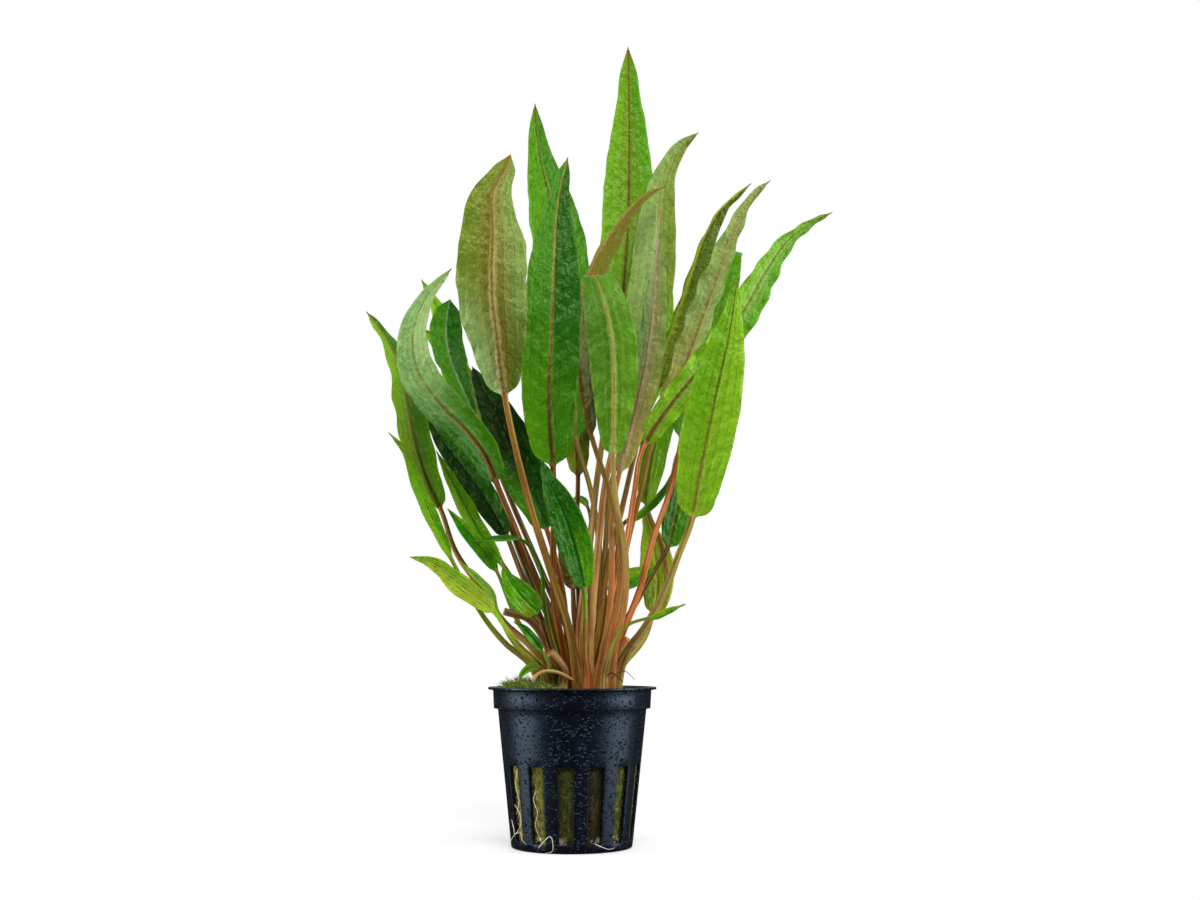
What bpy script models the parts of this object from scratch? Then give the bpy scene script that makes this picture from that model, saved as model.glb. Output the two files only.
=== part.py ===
"""A potted cryptocoryne: a slotted nursery pot, its plug of rockwool, a cushion of moss, the
rootstock, and the leaves, each in one piece from the foot of its stalk to its tip.

Frame: +Z up, the origin at the middle of the pot's flat base, and -Y towards the viewer.
Lengths are in mm until a mesh is made, which is in metres.
"""

import math
from dataclasses import dataclass

import bmesh
import bpy
from mathutils import Vector

MM = 0.001
GAP = 0.35  # clearance between pieces that touch

# Pot
POT_HEIGHT = 47.0
LIP_RADIUS = 25.5
LIP_THICKNESS = 0.9
LIP_SLOPE = 0.2  # rise of the lip's underside, outwards
BAND_RADIUS = 24.0
BAND_DEPTH = 6.3  # from the top of the pot down to the step under its band
BAND_DRAFT = 0.3  # the band is this much narrower at its foot than under the lip
STEP_RADIUS = 22.5
BASE_RADIUS = 18.1
STEP_SOFTENING = 0.5  # half the height of the step's slope inside the pot
WALL = 1.1
FLOOR = 1.3
SLOTS = 14
FIRST_SLOT_DEGREES = -4.2  # from the front towards +X, to the middle of a slot
SLOT_BOTTOM = 2.4
SLOT_TOP = 24.4
FLOOR_HUB_RADIUS = 5.0
FLOOR_SLOT_END = 14.0
POT_COLUMNS = 2 * SLOTS

# What fills the pot
ROCKWOOL_TOP = 43.8
POCKET_DEPTH = 6.0  # of the hollow that holds the rootstock
ROOTSTOCK_CENTRE_X = 3.5
ROOTSTOCK_RADII = (15.0, 12.6)
ROOTSTOCK_TOP = 44.6
ROOTSTOCK_SHOULDER = 2.5  # height over which it widens from its underside
ROOTSTOCK_UNDERSIDE = 0.85  # width of its underside, as a share of its widest
MOSS_TOP = 49.0
MOSS_OUTER_RADIUS = 21.6
MOSS_START_DEGREES = -108.0  # from the front, towards +X
MOSS_END_DEGREES = -8.0
MOSS_COLUMNS = 9
MOSS_ROWS = 4
MOSS_CLEARANCE = 1.0  # between the moss and the rootstock
MOSS_LUMP = 0.35
MOSS_LEAST_HEIGHT = 0.5

# Seats of the stalks on the rootstock, in staggered rows
SEAT_PITCH = 3.0
ROW_PITCH = 2.65

# The eye that saw the reference photograph, which has 1200 by 900 pixels
EYE = Vector((8.4, -450.0, 57.0))
EYE_TILT = math.radians(7.9)
FOCAL_PIXELS = 1466.4
PHOTO_CENTRE = (600.0, 450.0)

# Leaf
STALK_FOOT_RADIUS = 1.3
STALK_TOP_RADIUS = 0.8
RIB_TIP_RADIUS = 0.2
LAMINA = 0.36  # thickness halfway between the rib and a margin
STALK_RINGS = 5
FOOT_RISE = 5.0  # how far a stalk stands upright before it leans
BASE_FULLNESS = 0.45  # exponents of a blade's outline: the lower, the fuller
TIP_FULLNESS = 1.05
RING_SHARES = (0.0, 0.035, 0.11, 0.23, 0.38, 0.53, 0.68, 0.82, 0.93)  # rings along a blade

# Runner
RUNNER_RADIUS = 0.55
RUNNER_RINGS = 7


@dataclass
class Leaf:
    """A leaf laid out as the eye sees it.

    seat: row (front to back) and place (left to right) of its foot on the rootstock.
    stalk: pixels along its stalk, above the foot.
    blade: pixels along the midrib, from where the blade begins to its tip.
    behind: mm behind the pot's axis where the blade begins, at its middle and at its tip, or at
    each of its points.
    width: full width of the blade in mm.
    turn: degrees that the upper side is turned to the right from facing the eye, at places evenly
    spaced from the blade's beginning to its tip; at 180 the underside shows.
    fold: how high the margins stand above the rib, as a share of the half width.
    thick: scale of the stalk's radius.
    taper: under 1 for a blade that is widest below its middle.
    """

    seat: tuple
    stalk: tuple
    blade: tuple
    behind: tuple
    width: float
    turn: tuple = (0, 0)
    fold: float = 0.25
    thick: float = 1.0
    taper: float = 0.8


LEAVES = {
    "leaf_01": Leaf(
        (-2, 0), ((579, 655), (582, 606), (587, 565), (594, 507), (598, 471)),
        ((604, 430), (613, 375), (621, 315), (627, 250), (629, 175), (629, 110), (628, 46)),
        (8, 26, 26), 18.0, (-8, 6), 0.14, 1.2, 1.05,
    ),
    "leaf_02": Leaf(
        (-1, 0), ((590, 638), (594, 589), (599, 540), (604, 491)),
        ((618, 430), (636, 370), (647, 310), (655, 260), (659, 210), (667, 170), (682, 146), (699, 132)),
        (5, 14, 16), 14.5, (172, 196), 0.22, 1.25, 0.95,
    ),
    "leaf_03": Leaf(
        (3, 1), ((603, 640), (604, 589), (606, 540), (612, 480)),
        ((628, 430), (648, 370), (662, 325), (671, 283)),
        (36, 44, 48), 13.0, (0, 20),
    ),
    "leaf_04": Leaf(
        (-3, 1), ((612, 630), (620, 589), (622, 553), (615, 515), (607, 482)),
        ((593, 440), (584, 400), (579, 365), (578, 330), (581, 300), (589, 272), (601, 249),
         (615, 229), (631, 208), (646, 194), (665, 187)),
        (-14, -8, 10), 12.0, (118, 122), 0.45, 1.1, 0.9,
    ),
    "leaf_05": Leaf(
        (-3, 2), ((615, 647), (623, 614), (626, 581), (624, 540), (617, 507), (613, 480)),
        ((613, 457), (614, 400), (613, 350), (608, 315), (602, 294), (597, 281), (593, 276),
         (590, 280), (588, 291)),
        (-23, -28, -31, -32, -31, -28, -23, -18, -15),
        14.6, (180, 176), 0.12, 1.0, 0.95,
    ),
    "leaf_06": Leaf(
        (-2, 1), ((599, 670), (605, 640), (611, 597), (612, 565), (611, 533), (614, 500)),
        ((619, 475), (634, 420), (647, 360), (654, 300), (657, 252), (661, 209)),
        (-9, -10, -6), 9.6, (158, 150), 0.3,
    ),
    "leaf_07": Leaf(
        (0, 0), ((598, 640), (604, 590), (612, 545), (622, 510), (627, 487), (632, 466)),
        ((652, 392), (664, 358), (673, 330), (683, 300), (692, 272), (703, 241), (720, 210),
         (752, 183)),
        (5, 9, 12), 9.5, (35, 55), 0.7,
    ),
    "leaf_08": Leaf(
        (0, 1), ((610, 640), (617, 595), (624, 555), (632, 525), (638, 502), (645, 474)),
        ((653, 440), (671, 400), (690, 352), (705, 310), (720, 270), (737, 226), (753, 196),
         (771, 180)),
        (1, 1, 4), 9.5, (205, 215), 0.35, 1.0, 0.9,
    ),
    "leaf_09": Leaf(
        (0, 2), ((619, 643), (625, 625), (637, 598), (648, 556), (661, 515), (676, 471)),
        ((681, 440), (693, 380), (706, 330), (720, 288), (729, 264), (735, 252), (739, 256)),
        (8, 17, 23, 27, 30, 35, 42),
        15.0, (0, -15), 0.15, 1.0, 1.0,
    ),
    "leaf_10": Leaf(
        (-1, 1), ((607, 640), (615, 590), (623, 556), (629, 535), (633, 507), (635, 482)),
        ((643, 448), (666, 411), (694, 376), (722, 343), (744, 310), (760, 281), (776, 256),
         (798, 231), (833, 212)),
        (-8, -12, -14, -14, -12, -10, -7, -4, -1), 10.5, (10, 30), 0.25,
    ),
    "leaf_11": Leaf(
        (-2, 3), ((629, 647), (645, 627), (658, 606), (670, 578), (681, 548)),
        ((692, 519), (699, 480), (708, 435), (718, 385), (728, 340), (737, 280)),
        (-22, -31, -30), 15.8, (-5, 5), 0.12, 1.25, 0.75,
    ),
    "leaf_12": Leaf(
        (1, 2), ((607, 668), (621, 630), (638, 600), (650, 578), (661, 560)),
        ((668, 548), (676, 515), (684, 480), (691, 440), (696, 405)),
        (13, 15, 17), 11.0, (20, 20),
    ),
    "leaf_13": Leaf(
        (1, 3), ((617, 671), (629, 658), (641, 644), (649, 629)),
        ((653, 614), (657, 592), (656, 560), (651, 535), (644, 512)),
        (16, 21, 24), 10.8, (12, -8), 0.15, 0.85,
    ),
    "leaf_14": Leaf(
        (1, 1), ((602, 650), (604, 620)),
        ((610, 594), (622, 583), (637, 576), (655, 566)),
        (6, 7, 7.5), 6.6, (-10, -20), 0.15, 0.8,
    ),
    "leaf_15": Leaf(
        (-4, 2), ((606, 668), (612, 648), (618, 635), (629, 624)),
        ((645, 619), (655, 617), (666, 612), (686, 604)),
        (-18, -20, -20), 2.2, (20, 20), 0.2, 0.6,
    ),
    "leaf_16": Leaf(
        (2, 1), ((598, 660), (599, 645)),
        ((600, 636), (602, 626), (602, 616), (598, 606)),
        (7, 7, 7), 3.4, (0, 0), 0.2, 0.7,
    ),
    "leaf_17": Leaf(
        (-3, -1),
        ((576, 660), (568, 625), (555, 584), (545, 553), (533, 515), (522, 474), (514, 441)),
        ((505, 397), (498, 345), (492, 290), (493, 240), (500, 198), (511, 154)),
        (-31, -40, -34), 20.5, (172, 190), 0.16, 1.2, 0.95,
    ),
    "leaf_18": Leaf(
        (-2, -1), ((562, 645), (554, 600), (553, 560), (554, 520)),
        ((553, 468), (549, 400), (552, 330), (553, 280), (556, 225), (560, 190), (568, 157)),
        (-15, -20, -12), 18.0, (-6, 14), 0.2, 1.15, 0.75,
    ),
    "leaf_19": Leaf(
        (3, 0), ((597, 640), (600, 560), (593, 500), (585, 470)),
        ((577, 440), (574, 380), (570, 320), (563, 260), (553, 210), (543, 170), (537, 135),
         (535, 103)),
        (22, 34, 36), 16.5, (0, -20), 0.2,
    ),
    "leaf_20": Leaf(
        (2, -1), ((580, 640), (578, 570), (577, 505)),
        ((578, 476), (576, 440), (570, 400), (563, 365)),
        (26, 38, 46), 9.5,
    ),
    "leaf_21": Leaf(
        (-1, -2), ((560, 655), (548, 610), (527, 560), (510, 515)),
        ((497, 484), (484, 454), (462, 426), (436, 400), (418, 372), (413, 341), (418, 312),
         (434, 288), (452, 268)),
        (-14, -22, -14), 11.5, (20, -20), 0.25, 1.1, 0.7,
    ),
    "leaf_22": Leaf(
        (1, -4), ((540, 658), (530, 647), (513, 630), (497, 615), (481, 589), (463, 566), (453, 545)),
        ((441, 510), (427, 480), (417, 450), (409, 415), (403, 385), (396, 357), (382, 333),
         (366, 311)),
        (4, 6, 6), 10.5, (15, 30), 0.3,
    ),
    "leaf_23": Leaf(
        (0, -4), ((530, 664), (513, 650), (497, 635), (478, 608), (465, 585)),
        ((452, 560), (432, 518), (417, 485), (404, 450), (388, 432)),
        (-8, -10, -10), 4.6, (20, 30), 0.25, 0.8,
    ),
    "leaf_24": Leaf(
        (-2, -4), ((544, 668), (529, 655), (513, 638)),
        ((494, 612), (470, 592), (452, 578), (436, 564), (409, 557)),
        (-20, -24, -24), 6.6, (-10, -40), 0.2, 0.8,
    ),
    "leaf_25": Leaf(
        (-1, -4), ((538, 665), (520, 650), (507, 632)),
        ((498, 611), (489, 592), (476, 577), (460, 561)),
        (-12, -14, -14), 2.8, (30, 30), 0.3, 0.65,
    ),
    "leaf_26": Leaf(
        (1, -3), ((553, 650), (535, 605), (520, 570)),
        ((507, 537), (488, 503), (465, 470), (443, 442), (424, 413)),
        (10, 14, 16), 9.0, (0, 10), 0.25,
    ),
    "leaf_27": Leaf(
        (0, -3), ((552, 640), (530, 610), (516, 585)),
        ((503, 565), (484, 540), (466, 508), (450, 478), (436, 450)),
        (-2, -4, -4), 5.5, (10, 20), 0.3,
    ),
    "leaf_28": Leaf(
        (-1, -3), ((540, 650), (524, 632), (511, 607)),
        ((497, 572), (479, 545), (466, 530), (447, 508)),
        (-5, -9, -12), 4.6, (-20, -10), 0.3, 0.7,
    ),
    "leaf_29": Leaf(
        (-2, -2), ((558, 660), (547, 620), (543, 589), (540, 565), (533, 548)),
        ((520, 539), (505, 539), (490, 540), (473, 541)),
        (-20, -23, -24), 3.4, (60, 70), 0.3, 0.65,
    ),
    "leaf_30": Leaf(
        (-3, -2), ((562, 672), (552, 655), (545, 635)),
        ((538, 614), (526, 602), (514, 588), (502, 568)),
        (-14, -20, -22), 8.4, (10, 10), 0.15, 0.75,
    ),
    "leaf_31": Leaf(
        (-3, -3), ((551, 669), (547, 659)),
        ((543, 652), (532, 638), (523, 628), (513, 621)),
        (-20, -23, -24), 3.0, (20, 20), 0.3, 0.55,
    ),
    "leaf_32": Leaf(
        (-1, -1), ((569, 650), (564, 600), (556, 560)),
        ((547, 530), (539, 506), (526, 480), (511, 446), (496, 412), (482, 388), (472, 366)),
        (-5, -6, -2), 14.5, (5, 10), 0.2,
    ),
    "leaf_33": Leaf(
        (-3, 0), ((585, 650), (586, 615)),
        ((584, 590), (574, 545), (562, 510), (551, 485), (541, 460)),
        (-16, -21, -20), 10.5, (30, -10), 0.3, 0.85,
    ),
    "leaf_34": Leaf(
        (1, -2), ((577, 650), (574, 615)),
        ((573, 590), (571, 565), (569, 535), (566, 508)),
        (4, 6, 8), 7.5,
    ),
    "leaf_35": Leaf(
        (2, -3), ((560, 640), (535, 590), (512, 530)),
        ((490, 458), (470, 407), (456, 375), (448, 350), (446, 326), (450, 299)),
        (16, 22, 22), 12.0, (65, 10), 0.1, 1.0, 2.4,
    ),
    "leaf_36": Leaf(
        (3, -2), ((570, 640), (545, 580), (515, 510)),
        ((490, 450), (472, 405), (452, 365), (424, 328)),
        (26, 34, 36), 10.5,
    ),
    "leaf_37": Leaf(
        (3, -3), ((560, 640), (533, 570), (503, 500)),
        ((480, 440), (462, 395), (450, 350), (438, 310), (421, 279)),
        (32, 50, 60), 10.0, (10, 10),
    ),
    "leaf_38": Leaf(
        (0, 3), ((612, 672), (632, 645), (650, 620), (665, 590), (668, 570), (661, 543), (655, 528)),
        ((647, 506), (650, 475), (657, 440), (668, 405), (680, 370)),
        (20, 26, 36), 9.5, (-10, -10),
    ),
    "leaf_39": Leaf(
        (2, 2), ((608, 640), (614, 580), (619, 545)),
        ((624, 524), (637, 516), (649, 504), (665, 487), (678, 462)),
        (14, 15, 18), 5.0, (60, 60), 0.4,
    ),
    "leaf_40": Leaf(
        (-3, -4), ((546, 679), (544, 673)),
        ((541, 668), (532, 667), (524, 672), (517, 682)),
        (-12, -15, -16), 2.4, (20, 20), 0.3, 0.6,
    ),
    "leaf_41": Leaf(
        (3, -1), ((588, 640), (590, 560), (591, 520)),
        ((588, 508), (582, 500), (576, 498), (570, 502)),
        (28, 33, 35), 2.6, (20, 20), 0.3, 0.7,
    ),
}

# Stalks whose leaf was cut off: seat, pixels above the foot, mm behind the axis at the cut end,
# and the scale of the stalk's radius
CUT_STALKS = {
    "cut_stalk_left": ((-2, -3), ((548, 650), (535, 624), (521, 616), (504, 611)), -10, 0.95),
    "cut_stalk_front": ((-4, -2), ((563, 668), (550, 653)), -16, 1.3),
    "cut_stalk_right": ((-1, 2), ((618, 655), (629, 639)), -6, 1.1),
}

RUNNER_PIXELS = ((573, 680), (560, 673), (546, 671), (537, 675), (532, 681))
RUNNER_BEHIND = -19.0

GREEN = (0.10, 0.30, 0.03)
STALK_BROWN = (0.36, 0.17, 0.06)
MOSS_GREEN = (0.09, 0.14, 0.03)
ROCKWOOL_OLIVE = (0.22, 0.17, 0.06)
ROOTSTOCK_BROWN = (0.12, 0.07, 0.04)
PLASTIC_BLACK = (0.012, 0.014, 0.02)
ROOT_PALE = (0.72, 0.58, 0.47)


def seen_at(pixel, behind):
    """The point in mm, so far behind the pot's axis, that the eye sees at a pixel."""
    side = (pixel[0] - PHOTO_CENTRE[0]) / FOCAL_PIXELS
    rise = (PHOTO_CENTRE[1] - pixel[1]) / FOCAL_PIXELS
    depth = math.cos(EYE_TILT) - rise * math.sin(EYE_TILT)
    height = math.sin(EYE_TILT) + rise * math.cos(EYE_TILT)
    reach = (behind - EYE.y) / depth
    return EYE + reach * Vector((side, depth, height))


def pixel_of(point):
    """The pixel at which the eye sees a point in mm."""
    away = point - EYE
    depth = away.y * math.cos(EYE_TILT) + away.z * math.sin(EYE_TILT)
    height = away.z * math.cos(EYE_TILT) - away.y * math.sin(EYE_TILT)
    return (
        PHOTO_CENTRE[0] + FOCAL_PIXELS * away.x / depth,
        PHOTO_CENTRE[1] - FOCAL_PIXELS * height / depth,
    )


def seat_point(seat):
    """Where the foot of a stalk stands on the rootstock."""
    row, place = seat
    across = ROOTSTOCK_CENTRE_X + SEAT_PITCH * (place + 0.5 * (row % 2))
    return Vector((across, ROW_PITCH * row, ROOTSTOCK_TOP + GAP))


def shares_along(pixels):
    """How far along the line through these pixels each one lies, from 0 to 1."""
    lengths = [0.0]
    for a, b in zip(pixels, pixels[1:]):
        lengths.append(lengths[-1] + math.dist(a, b))
    return [length / lengths[-1] for length in lengths]


def stalk_points(seat, pixels, behind_at_end):
    """Points of a stalk in mm, its depth easing from its foot's to that of its end."""
    foot = seat_point(seat)
    upright = foot + Vector((0, 0, FOOT_RISE))
    shares = shares_along([pixel_of(foot), *pixels])[1:]
    leaning = [
        seen_at(pixel, foot.y + (behind_at_end - foot.y) * share ** 1.2)
        for pixel, share in zip(pixels, shares)
    ]
    clear = [point for point in leaning if point.z > upright.z + 1.0]
    upright.x += 0.2 * (clear[0].x - foot.x) if clear else 0.0
    return [foot, upright, *clear] if len(clear) == len(leaning) else [foot, *leaning]


def blade_depths(leaf):
    """How far behind the pot's axis each point of a blade lies."""
    if len(leaf.behind) == len(leaf.blade):
        return leaf.behind
    start, middle, tip = leaf.behind
    return [
        start * (1 - t) * (1 - 2 * t) + 4 * middle * t * (1 - t) + tip * t * (2 * t - 1)
        for t in shares_along(leaf.blade)
    ]


def spread(values, share):
    """A value read between evenly spaced ones."""
    place = share * (len(values) - 1)
    low = min(int(place), len(values) - 2)
    return values[low] + (values[low + 1] - values[low]) * (place - low)


class Curve:
    """A smooth curve through points, read by its length."""

    STEPS = 12

    def __init__(self, points):
        self.places = []
        padded = [2 * points[0] - points[1], *points, 2 * points[-1] - points[-2]]
        for i in range(1, len(padded) - 2):
            for step in range(self.STEPS):
                self.places.append(self.between(padded[i - 1 : i + 3], step / self.STEPS))
        self.places.append(points[-1])
        self.lengths = [0.0]
        for a, b in zip(self.places, self.places[1:]):
            self.lengths.append(self.lengths[-1] + (b - a).length)
        self.knots = [self.lengths[self.STEPS * i] for i in range(len(points))]

    @staticmethod
    def between(four, t):
        """Catmull-Rom's curve between the middle two of four points, with chord-length knots."""
        a, b, c, d = four
        ab = max((b - a).length, 1e-6) ** 0.5
        bc = max((c - b).length, 1e-6) ** 0.5
        cd = max((d - c).length, 1e-6) ** 0.5
        slope_b = (b - a) / ab - (c - a) / (ab + bc) + (c - b) / bc
        slope_c = (c - b) / bc - (d - b) / (bc + cd) + (d - c) / cd
        slope_b *= bc
        slope_c *= bc
        return (
            (2 * t**3 - 3 * t**2 + 1) * b
            + (t**3 - 2 * t**2 + t) * slope_b
            + (3 * t**2 - 2 * t**3) * c
            + (t**3 - t**2) * slope_c
        )

    def at(self, length):
        length = min(max(length, 0.0), self.lengths[-1])
        for i, far in enumerate(self.lengths[1:]):
            if far >= length:
                near = self.lengths[i]
                return self.places[i].lerp(self.places[i + 1], (length - near) / (far - near))
        return self.places[-1]

    def direction(self, length, reach=1.5):
        return (self.at(length + reach) - self.at(length - reach)).normalized()


def outline_share(t, taper):
    """Half width of a blade, as a share of the widest, at a share of its length."""
    fullness = BASE_FULLNESS + (TIP_FULLNESS - BASE_FULLNESS) * t
    return math.sin(math.pi * t**taper) ** fullness


def section(half, rib, fold):
    """The six corners of a leaf's cross section, anticlockwise from its right margin.

    Each is (across, up) from the midrib. Where the half width is the rib's own radius, it is a
    stalk's round section, and where it is wider, a blade with raised margins.
    """
    blade = min(max((half - rib) / (2.0 * rib), 0.0), 1.0)
    rise = blade * fold * half + (1 - blade) * 0.3 * rib
    top = (1 - blade) * 0.8 * rib + blade * 0.2
    quarter_low = blade * (0.5 * rise + 0.5 * top - LAMINA) - (1 - blade) * 0.7 * rib
    quarter = (0.7 - 0.2 * blade) * half
    bottom = -rib * (1 - 0.35 * blade)
    return (
        (half, rise), (0.0, top), (-half, rise),
        (-quarter, quarter_low), (0.0, bottom), (quarter, quarter_low),
    )


class Frames:
    """Places cross sections along a path, keeping one side of them towards the eye.

    Where the path runs nearly along the line of sight, the sections keep the way they had.
    """

    LEAST_SIDEWAYS = 0.4

    def __init__(self):
        self.right = None

    def ring(self, centre, tangent, turn, corners):
        right = tangent.cross((EYE - centre).normalized())
        if self.right and right.length < self.LEAST_SIDEWAYS:
            right = self.right - tangent * self.right.dot(tangent)
        elif self.right and right.dot(self.right) < 0:
            right.negate()
        self.right = right.normalized()
        facing = self.right.cross(tangent)
        turned = math.radians(turn)
        up = facing * math.cos(turned) + self.right * math.sin(turned)
        across = tangent.cross(up)
        return [centre + across * x + up * y for x, y in corners]


def close_rings(bm, rings, tip=None):
    """Joins rings of equally many corners with triangles, and closes both ends."""
    count = len(rings[0])
    loops = [[bm.verts.new(corner * MM) for corner in corners] for corners in rings]
    for low, high in zip(loops, loops[1:]):
        for i in range(count):
            j = (i + 1) % count
            bm.faces.new((low[i], low[j], high[j]))
            bm.faces.new((low[i], high[j], high[i]))
    for i in range(1, count - 1):
        bm.faces.new((loops[0][0], loops[0][i + 1], loops[0][i]))
    if tip is None:
        for i in range(1, count - 1):
            bm.faces.new((loops[-1][0], loops[-1][i], loops[-1][i + 1]))
        return
    end = bm.verts.new(tip * MM)
    for i in range(count):
        bm.faces.new((loops[-1][i], loops[-1][(i + 1) % count], end))


def leaf_mesh(bm, leaf):
    """A stalk that stands on the rootstock and widens into a blade with a raised midrib."""
    stalk = stalk_points(leaf.seat, leaf.stalk, leaf.behind[0])
    blade = [seen_at(pixel, behind) for pixel, behind in zip(leaf.blade, blade_depths(leaf))]
    curve = Curve(stalk + blade)
    collar = curve.knots[len(stalk)]
    end = curve.lengths[-1]
    foot_radius = STALK_FOOT_RADIUS * leaf.thick**0.5
    top_radius = STALK_TOP_RADIUS * leaf.thick
    frames = Frames()
    rings = []
    for i in range(STALK_RINGS):
        share = i / STALK_RINGS
        radius = foot_radius + (top_radius - foot_radius) * share
        corners = section(radius, radius, 0.0)
        tangent = curve.direction(share * collar) if i else Vector((0, 0, 1))
        rings.append(frames.ring(curve.at(share * collar), tangent, leaf.turn[0], corners))
    for share in RING_SHARES:
        length = collar + share * (end - collar)
        rib = top_radius + (RIB_TIP_RADIUS - top_radius) * share**0.7
        half = max(leaf.width / 2 * outline_share(share, leaf.taper), rib)
        corners = section(half, rib, leaf.fold)
        turn = spread(leaf.turn, share)
        rings.append(frames.ring(curve.at(length), curve.direction(length), turn, corners))
    close_rings(bm, rings, blade[-1])


def tube_mesh(bm, curve, radius, count, foot_level=False):
    """A stalk or root of even thickness with flat ends."""
    corners = section(radius, radius, 0.0)
    frames = Frames()
    rings = []
    for i in range(count):
        length = curve.lengths[-1] * i / (count - 1)
        level = foot_level and i == 0
        tangent = Vector((0, 0, 1)) if level else curve.direction(length)
        rings.append(frames.ring(curve.at(length), tangent, 0.0, corners))
    close_rings(bm, rings)


def cut_stalk_mesh(bm, seat, pixels, behind, thick):
    curve = Curve(stalk_points(seat, pixels, behind))
    tube_mesh(bm, curve, STALK_FOOT_RADIUS * thick, STALK_RINGS, foot_level=True)


def runner_mesh(bm):
    """A thin pale root that arches over the moss."""
    curve = Curve([seen_at(pixel, RUNNER_BEHIND) for pixel in RUNNER_PIXELS])
    tube_mesh(bm, curve, RUNNER_RADIUS, RUNNER_RINGS)


def around(radii, height, centre_x=0.0, columns=POT_COLUMNS):
    """Corners of a level round or oval, the first at the right edge of the front slot."""
    half_column = 180.0 / POT_COLUMNS
    points = []
    for i in range(columns):
        angle = math.radians(FIRST_SLOT_DEGREES + half_column + 360.0 * i / columns)
        x = centre_x + radii[0] * math.sin(angle)
        points.append(Vector((x, -radii[1] * math.cos(angle), height)))
    return points


def wall_radius(height):
    """Outer radius of the pot's tapered wall."""
    return BASE_RADIUS + (STEP_RADIUS - BASE_RADIUS) * height / (POT_HEIGHT - BAND_DEPTH)


def pot_stations():
    """Matching (radius, height) pairs down the pot's outside and inside, from hub to lip."""
    step = POT_HEIGHT - BAND_DEPTH
    under_lip = POT_HEIGHT - LIP_THICKNESS
    outside = [
        (FLOOR_HUB_RADIUS, 0.0),
        (FLOOR_SLOT_END, 0.0),
        (BASE_RADIUS, 0.0),
        (wall_radius(SLOT_BOTTOM), SLOT_BOTTOM),
        (wall_radius(SLOT_TOP), SLOT_TOP),
        (STEP_RADIUS, step),
        (BAND_RADIUS - BAND_DRAFT, step),
        (BAND_RADIUS, under_lip),
        (LIP_RADIUS, under_lip + LIP_SLOPE),
        (LIP_RADIUS, POT_HEIGHT),
    ]
    inside = [
        (FLOOR_HUB_RADIUS, FLOOR),
        (FLOOR_SLOT_END, FLOOR),
        (wall_radius(FLOOR) - WALL, FLOOR),
        (wall_radius(SLOT_BOTTOM) - WALL, SLOT_BOTTOM),
        (wall_radius(SLOT_TOP) - WALL, SLOT_TOP),
        (STEP_RADIUS - WALL, step - STEP_SOFTENING),
        (BAND_RADIUS - BAND_DRAFT - WALL, step + STEP_SOFTENING),
        (BAND_RADIUS - WALL, under_lip),
        (BAND_RADIUS - WALL, under_lip + LIP_THICKNESS / 2),
        (BAND_RADIUS - WALL, POT_HEIGHT),
    ]
    return outside, inside


def pot_mesh(bm):
    """The turned wall and floor, with every second column left open where the slots are."""
    outside, inside = pot_stations()
    outer = [[bm.verts.new(p * MM) for p in around((r, r), z)] for r, z in outside]
    inner = [[bm.verts.new(p * MM) for p in around((r, r), z)] for r, z in inside]
    slotted = {0, 3}
    for k in range(len(outer) - 1):
        for i in range(POT_COLUMNS):
            j = (i + 1) % POT_COLUMNS
            if k in slotted and i % 2:
                continue
            bm.faces.new((outer[k][i], outer[k][j], outer[k + 1][j], outer[k + 1][i]))
            bm.faces.new((inner[k][i], inner[k + 1][i], inner[k + 1][j], inner[k][j]))
    for k in slotted:
        for i in range(1, POT_COLUMNS, 2):
            j = (i + 1) % POT_COLUMNS
            bm.faces.new((outer[k][i], outer[k][j], inner[k][j], inner[k][i]))
            bm.faces.new((outer[k + 1][i], inner[k + 1][i], inner[k + 1][j], outer[k + 1][j]))
            bm.faces.new((outer[k][i], inner[k][i], inner[k + 1][i], outer[k + 1][i]))
            bm.faces.new((outer[k][j], outer[k + 1][j], inner[k + 1][j], inner[k][j]))
    for i in range(POT_COLUMNS):
        j = (i + 1) % POT_COLUMNS
        bm.faces.new((outer[-1][i], outer[-1][j], inner[-1][j], inner[-1][i]))
    under = bm.verts.new((0, 0, 0))
    over = bm.verts.new((0, 0, FLOOR * MM))
    for i in range(POT_COLUMNS):
        j = (i + 1) % POT_COLUMNS
        bm.faces.new((under, outer[0][j], outer[0][i]))
        bm.faces.new((over, inner[0][i], inner[0][j]))


def rockwool_mesh(bm):
    """A plug that fills the pot, with a pocket for the rootstock in its top."""
    _, inside = pot_stations()
    fill = [(inside[2][0] - GAP, FLOOR + GAP)]
    fill += [(radius - GAP, height) for radius, height in inside[4:6]]
    fill.append((inside[6][0] - GAP, inside[6][1] + GAP))
    fill.append((inside[6][0] - GAP, ROCKWOOL_TOP))
    rings = [around((r, r), z) for r, z in fill]
    mouth = [axis + GAP for axis in ROOTSTOCK_RADII]
    rings.append(around(mouth, ROCKWOOL_TOP, ROOTSTOCK_CENTRE_X))
    rings.append(around(mouth, ROCKWOOL_TOP - POCKET_DEPTH, ROOTSTOCK_CENTRE_X))
    close_rings(bm, rings)


def rootstock_mesh(bm):
    bottom = ROCKWOOL_TOP - POCKET_DEPTH + GAP
    low = [ROOTSTOCK_UNDERSIDE * axis for axis in ROOTSTOCK_RADII]
    rings = [
        around(low, bottom, ROOTSTOCK_CENTRE_X),
        around(ROOTSTOCK_RADII, bottom + ROOTSTOCK_SHOULDER, ROOTSTOCK_CENTRE_X),
        around(ROOTSTOCK_RADII, ROOTSTOCK_TOP, ROOTSTOCK_CENTRE_X),
    ]
    close_rings(bm, rings)


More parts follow.
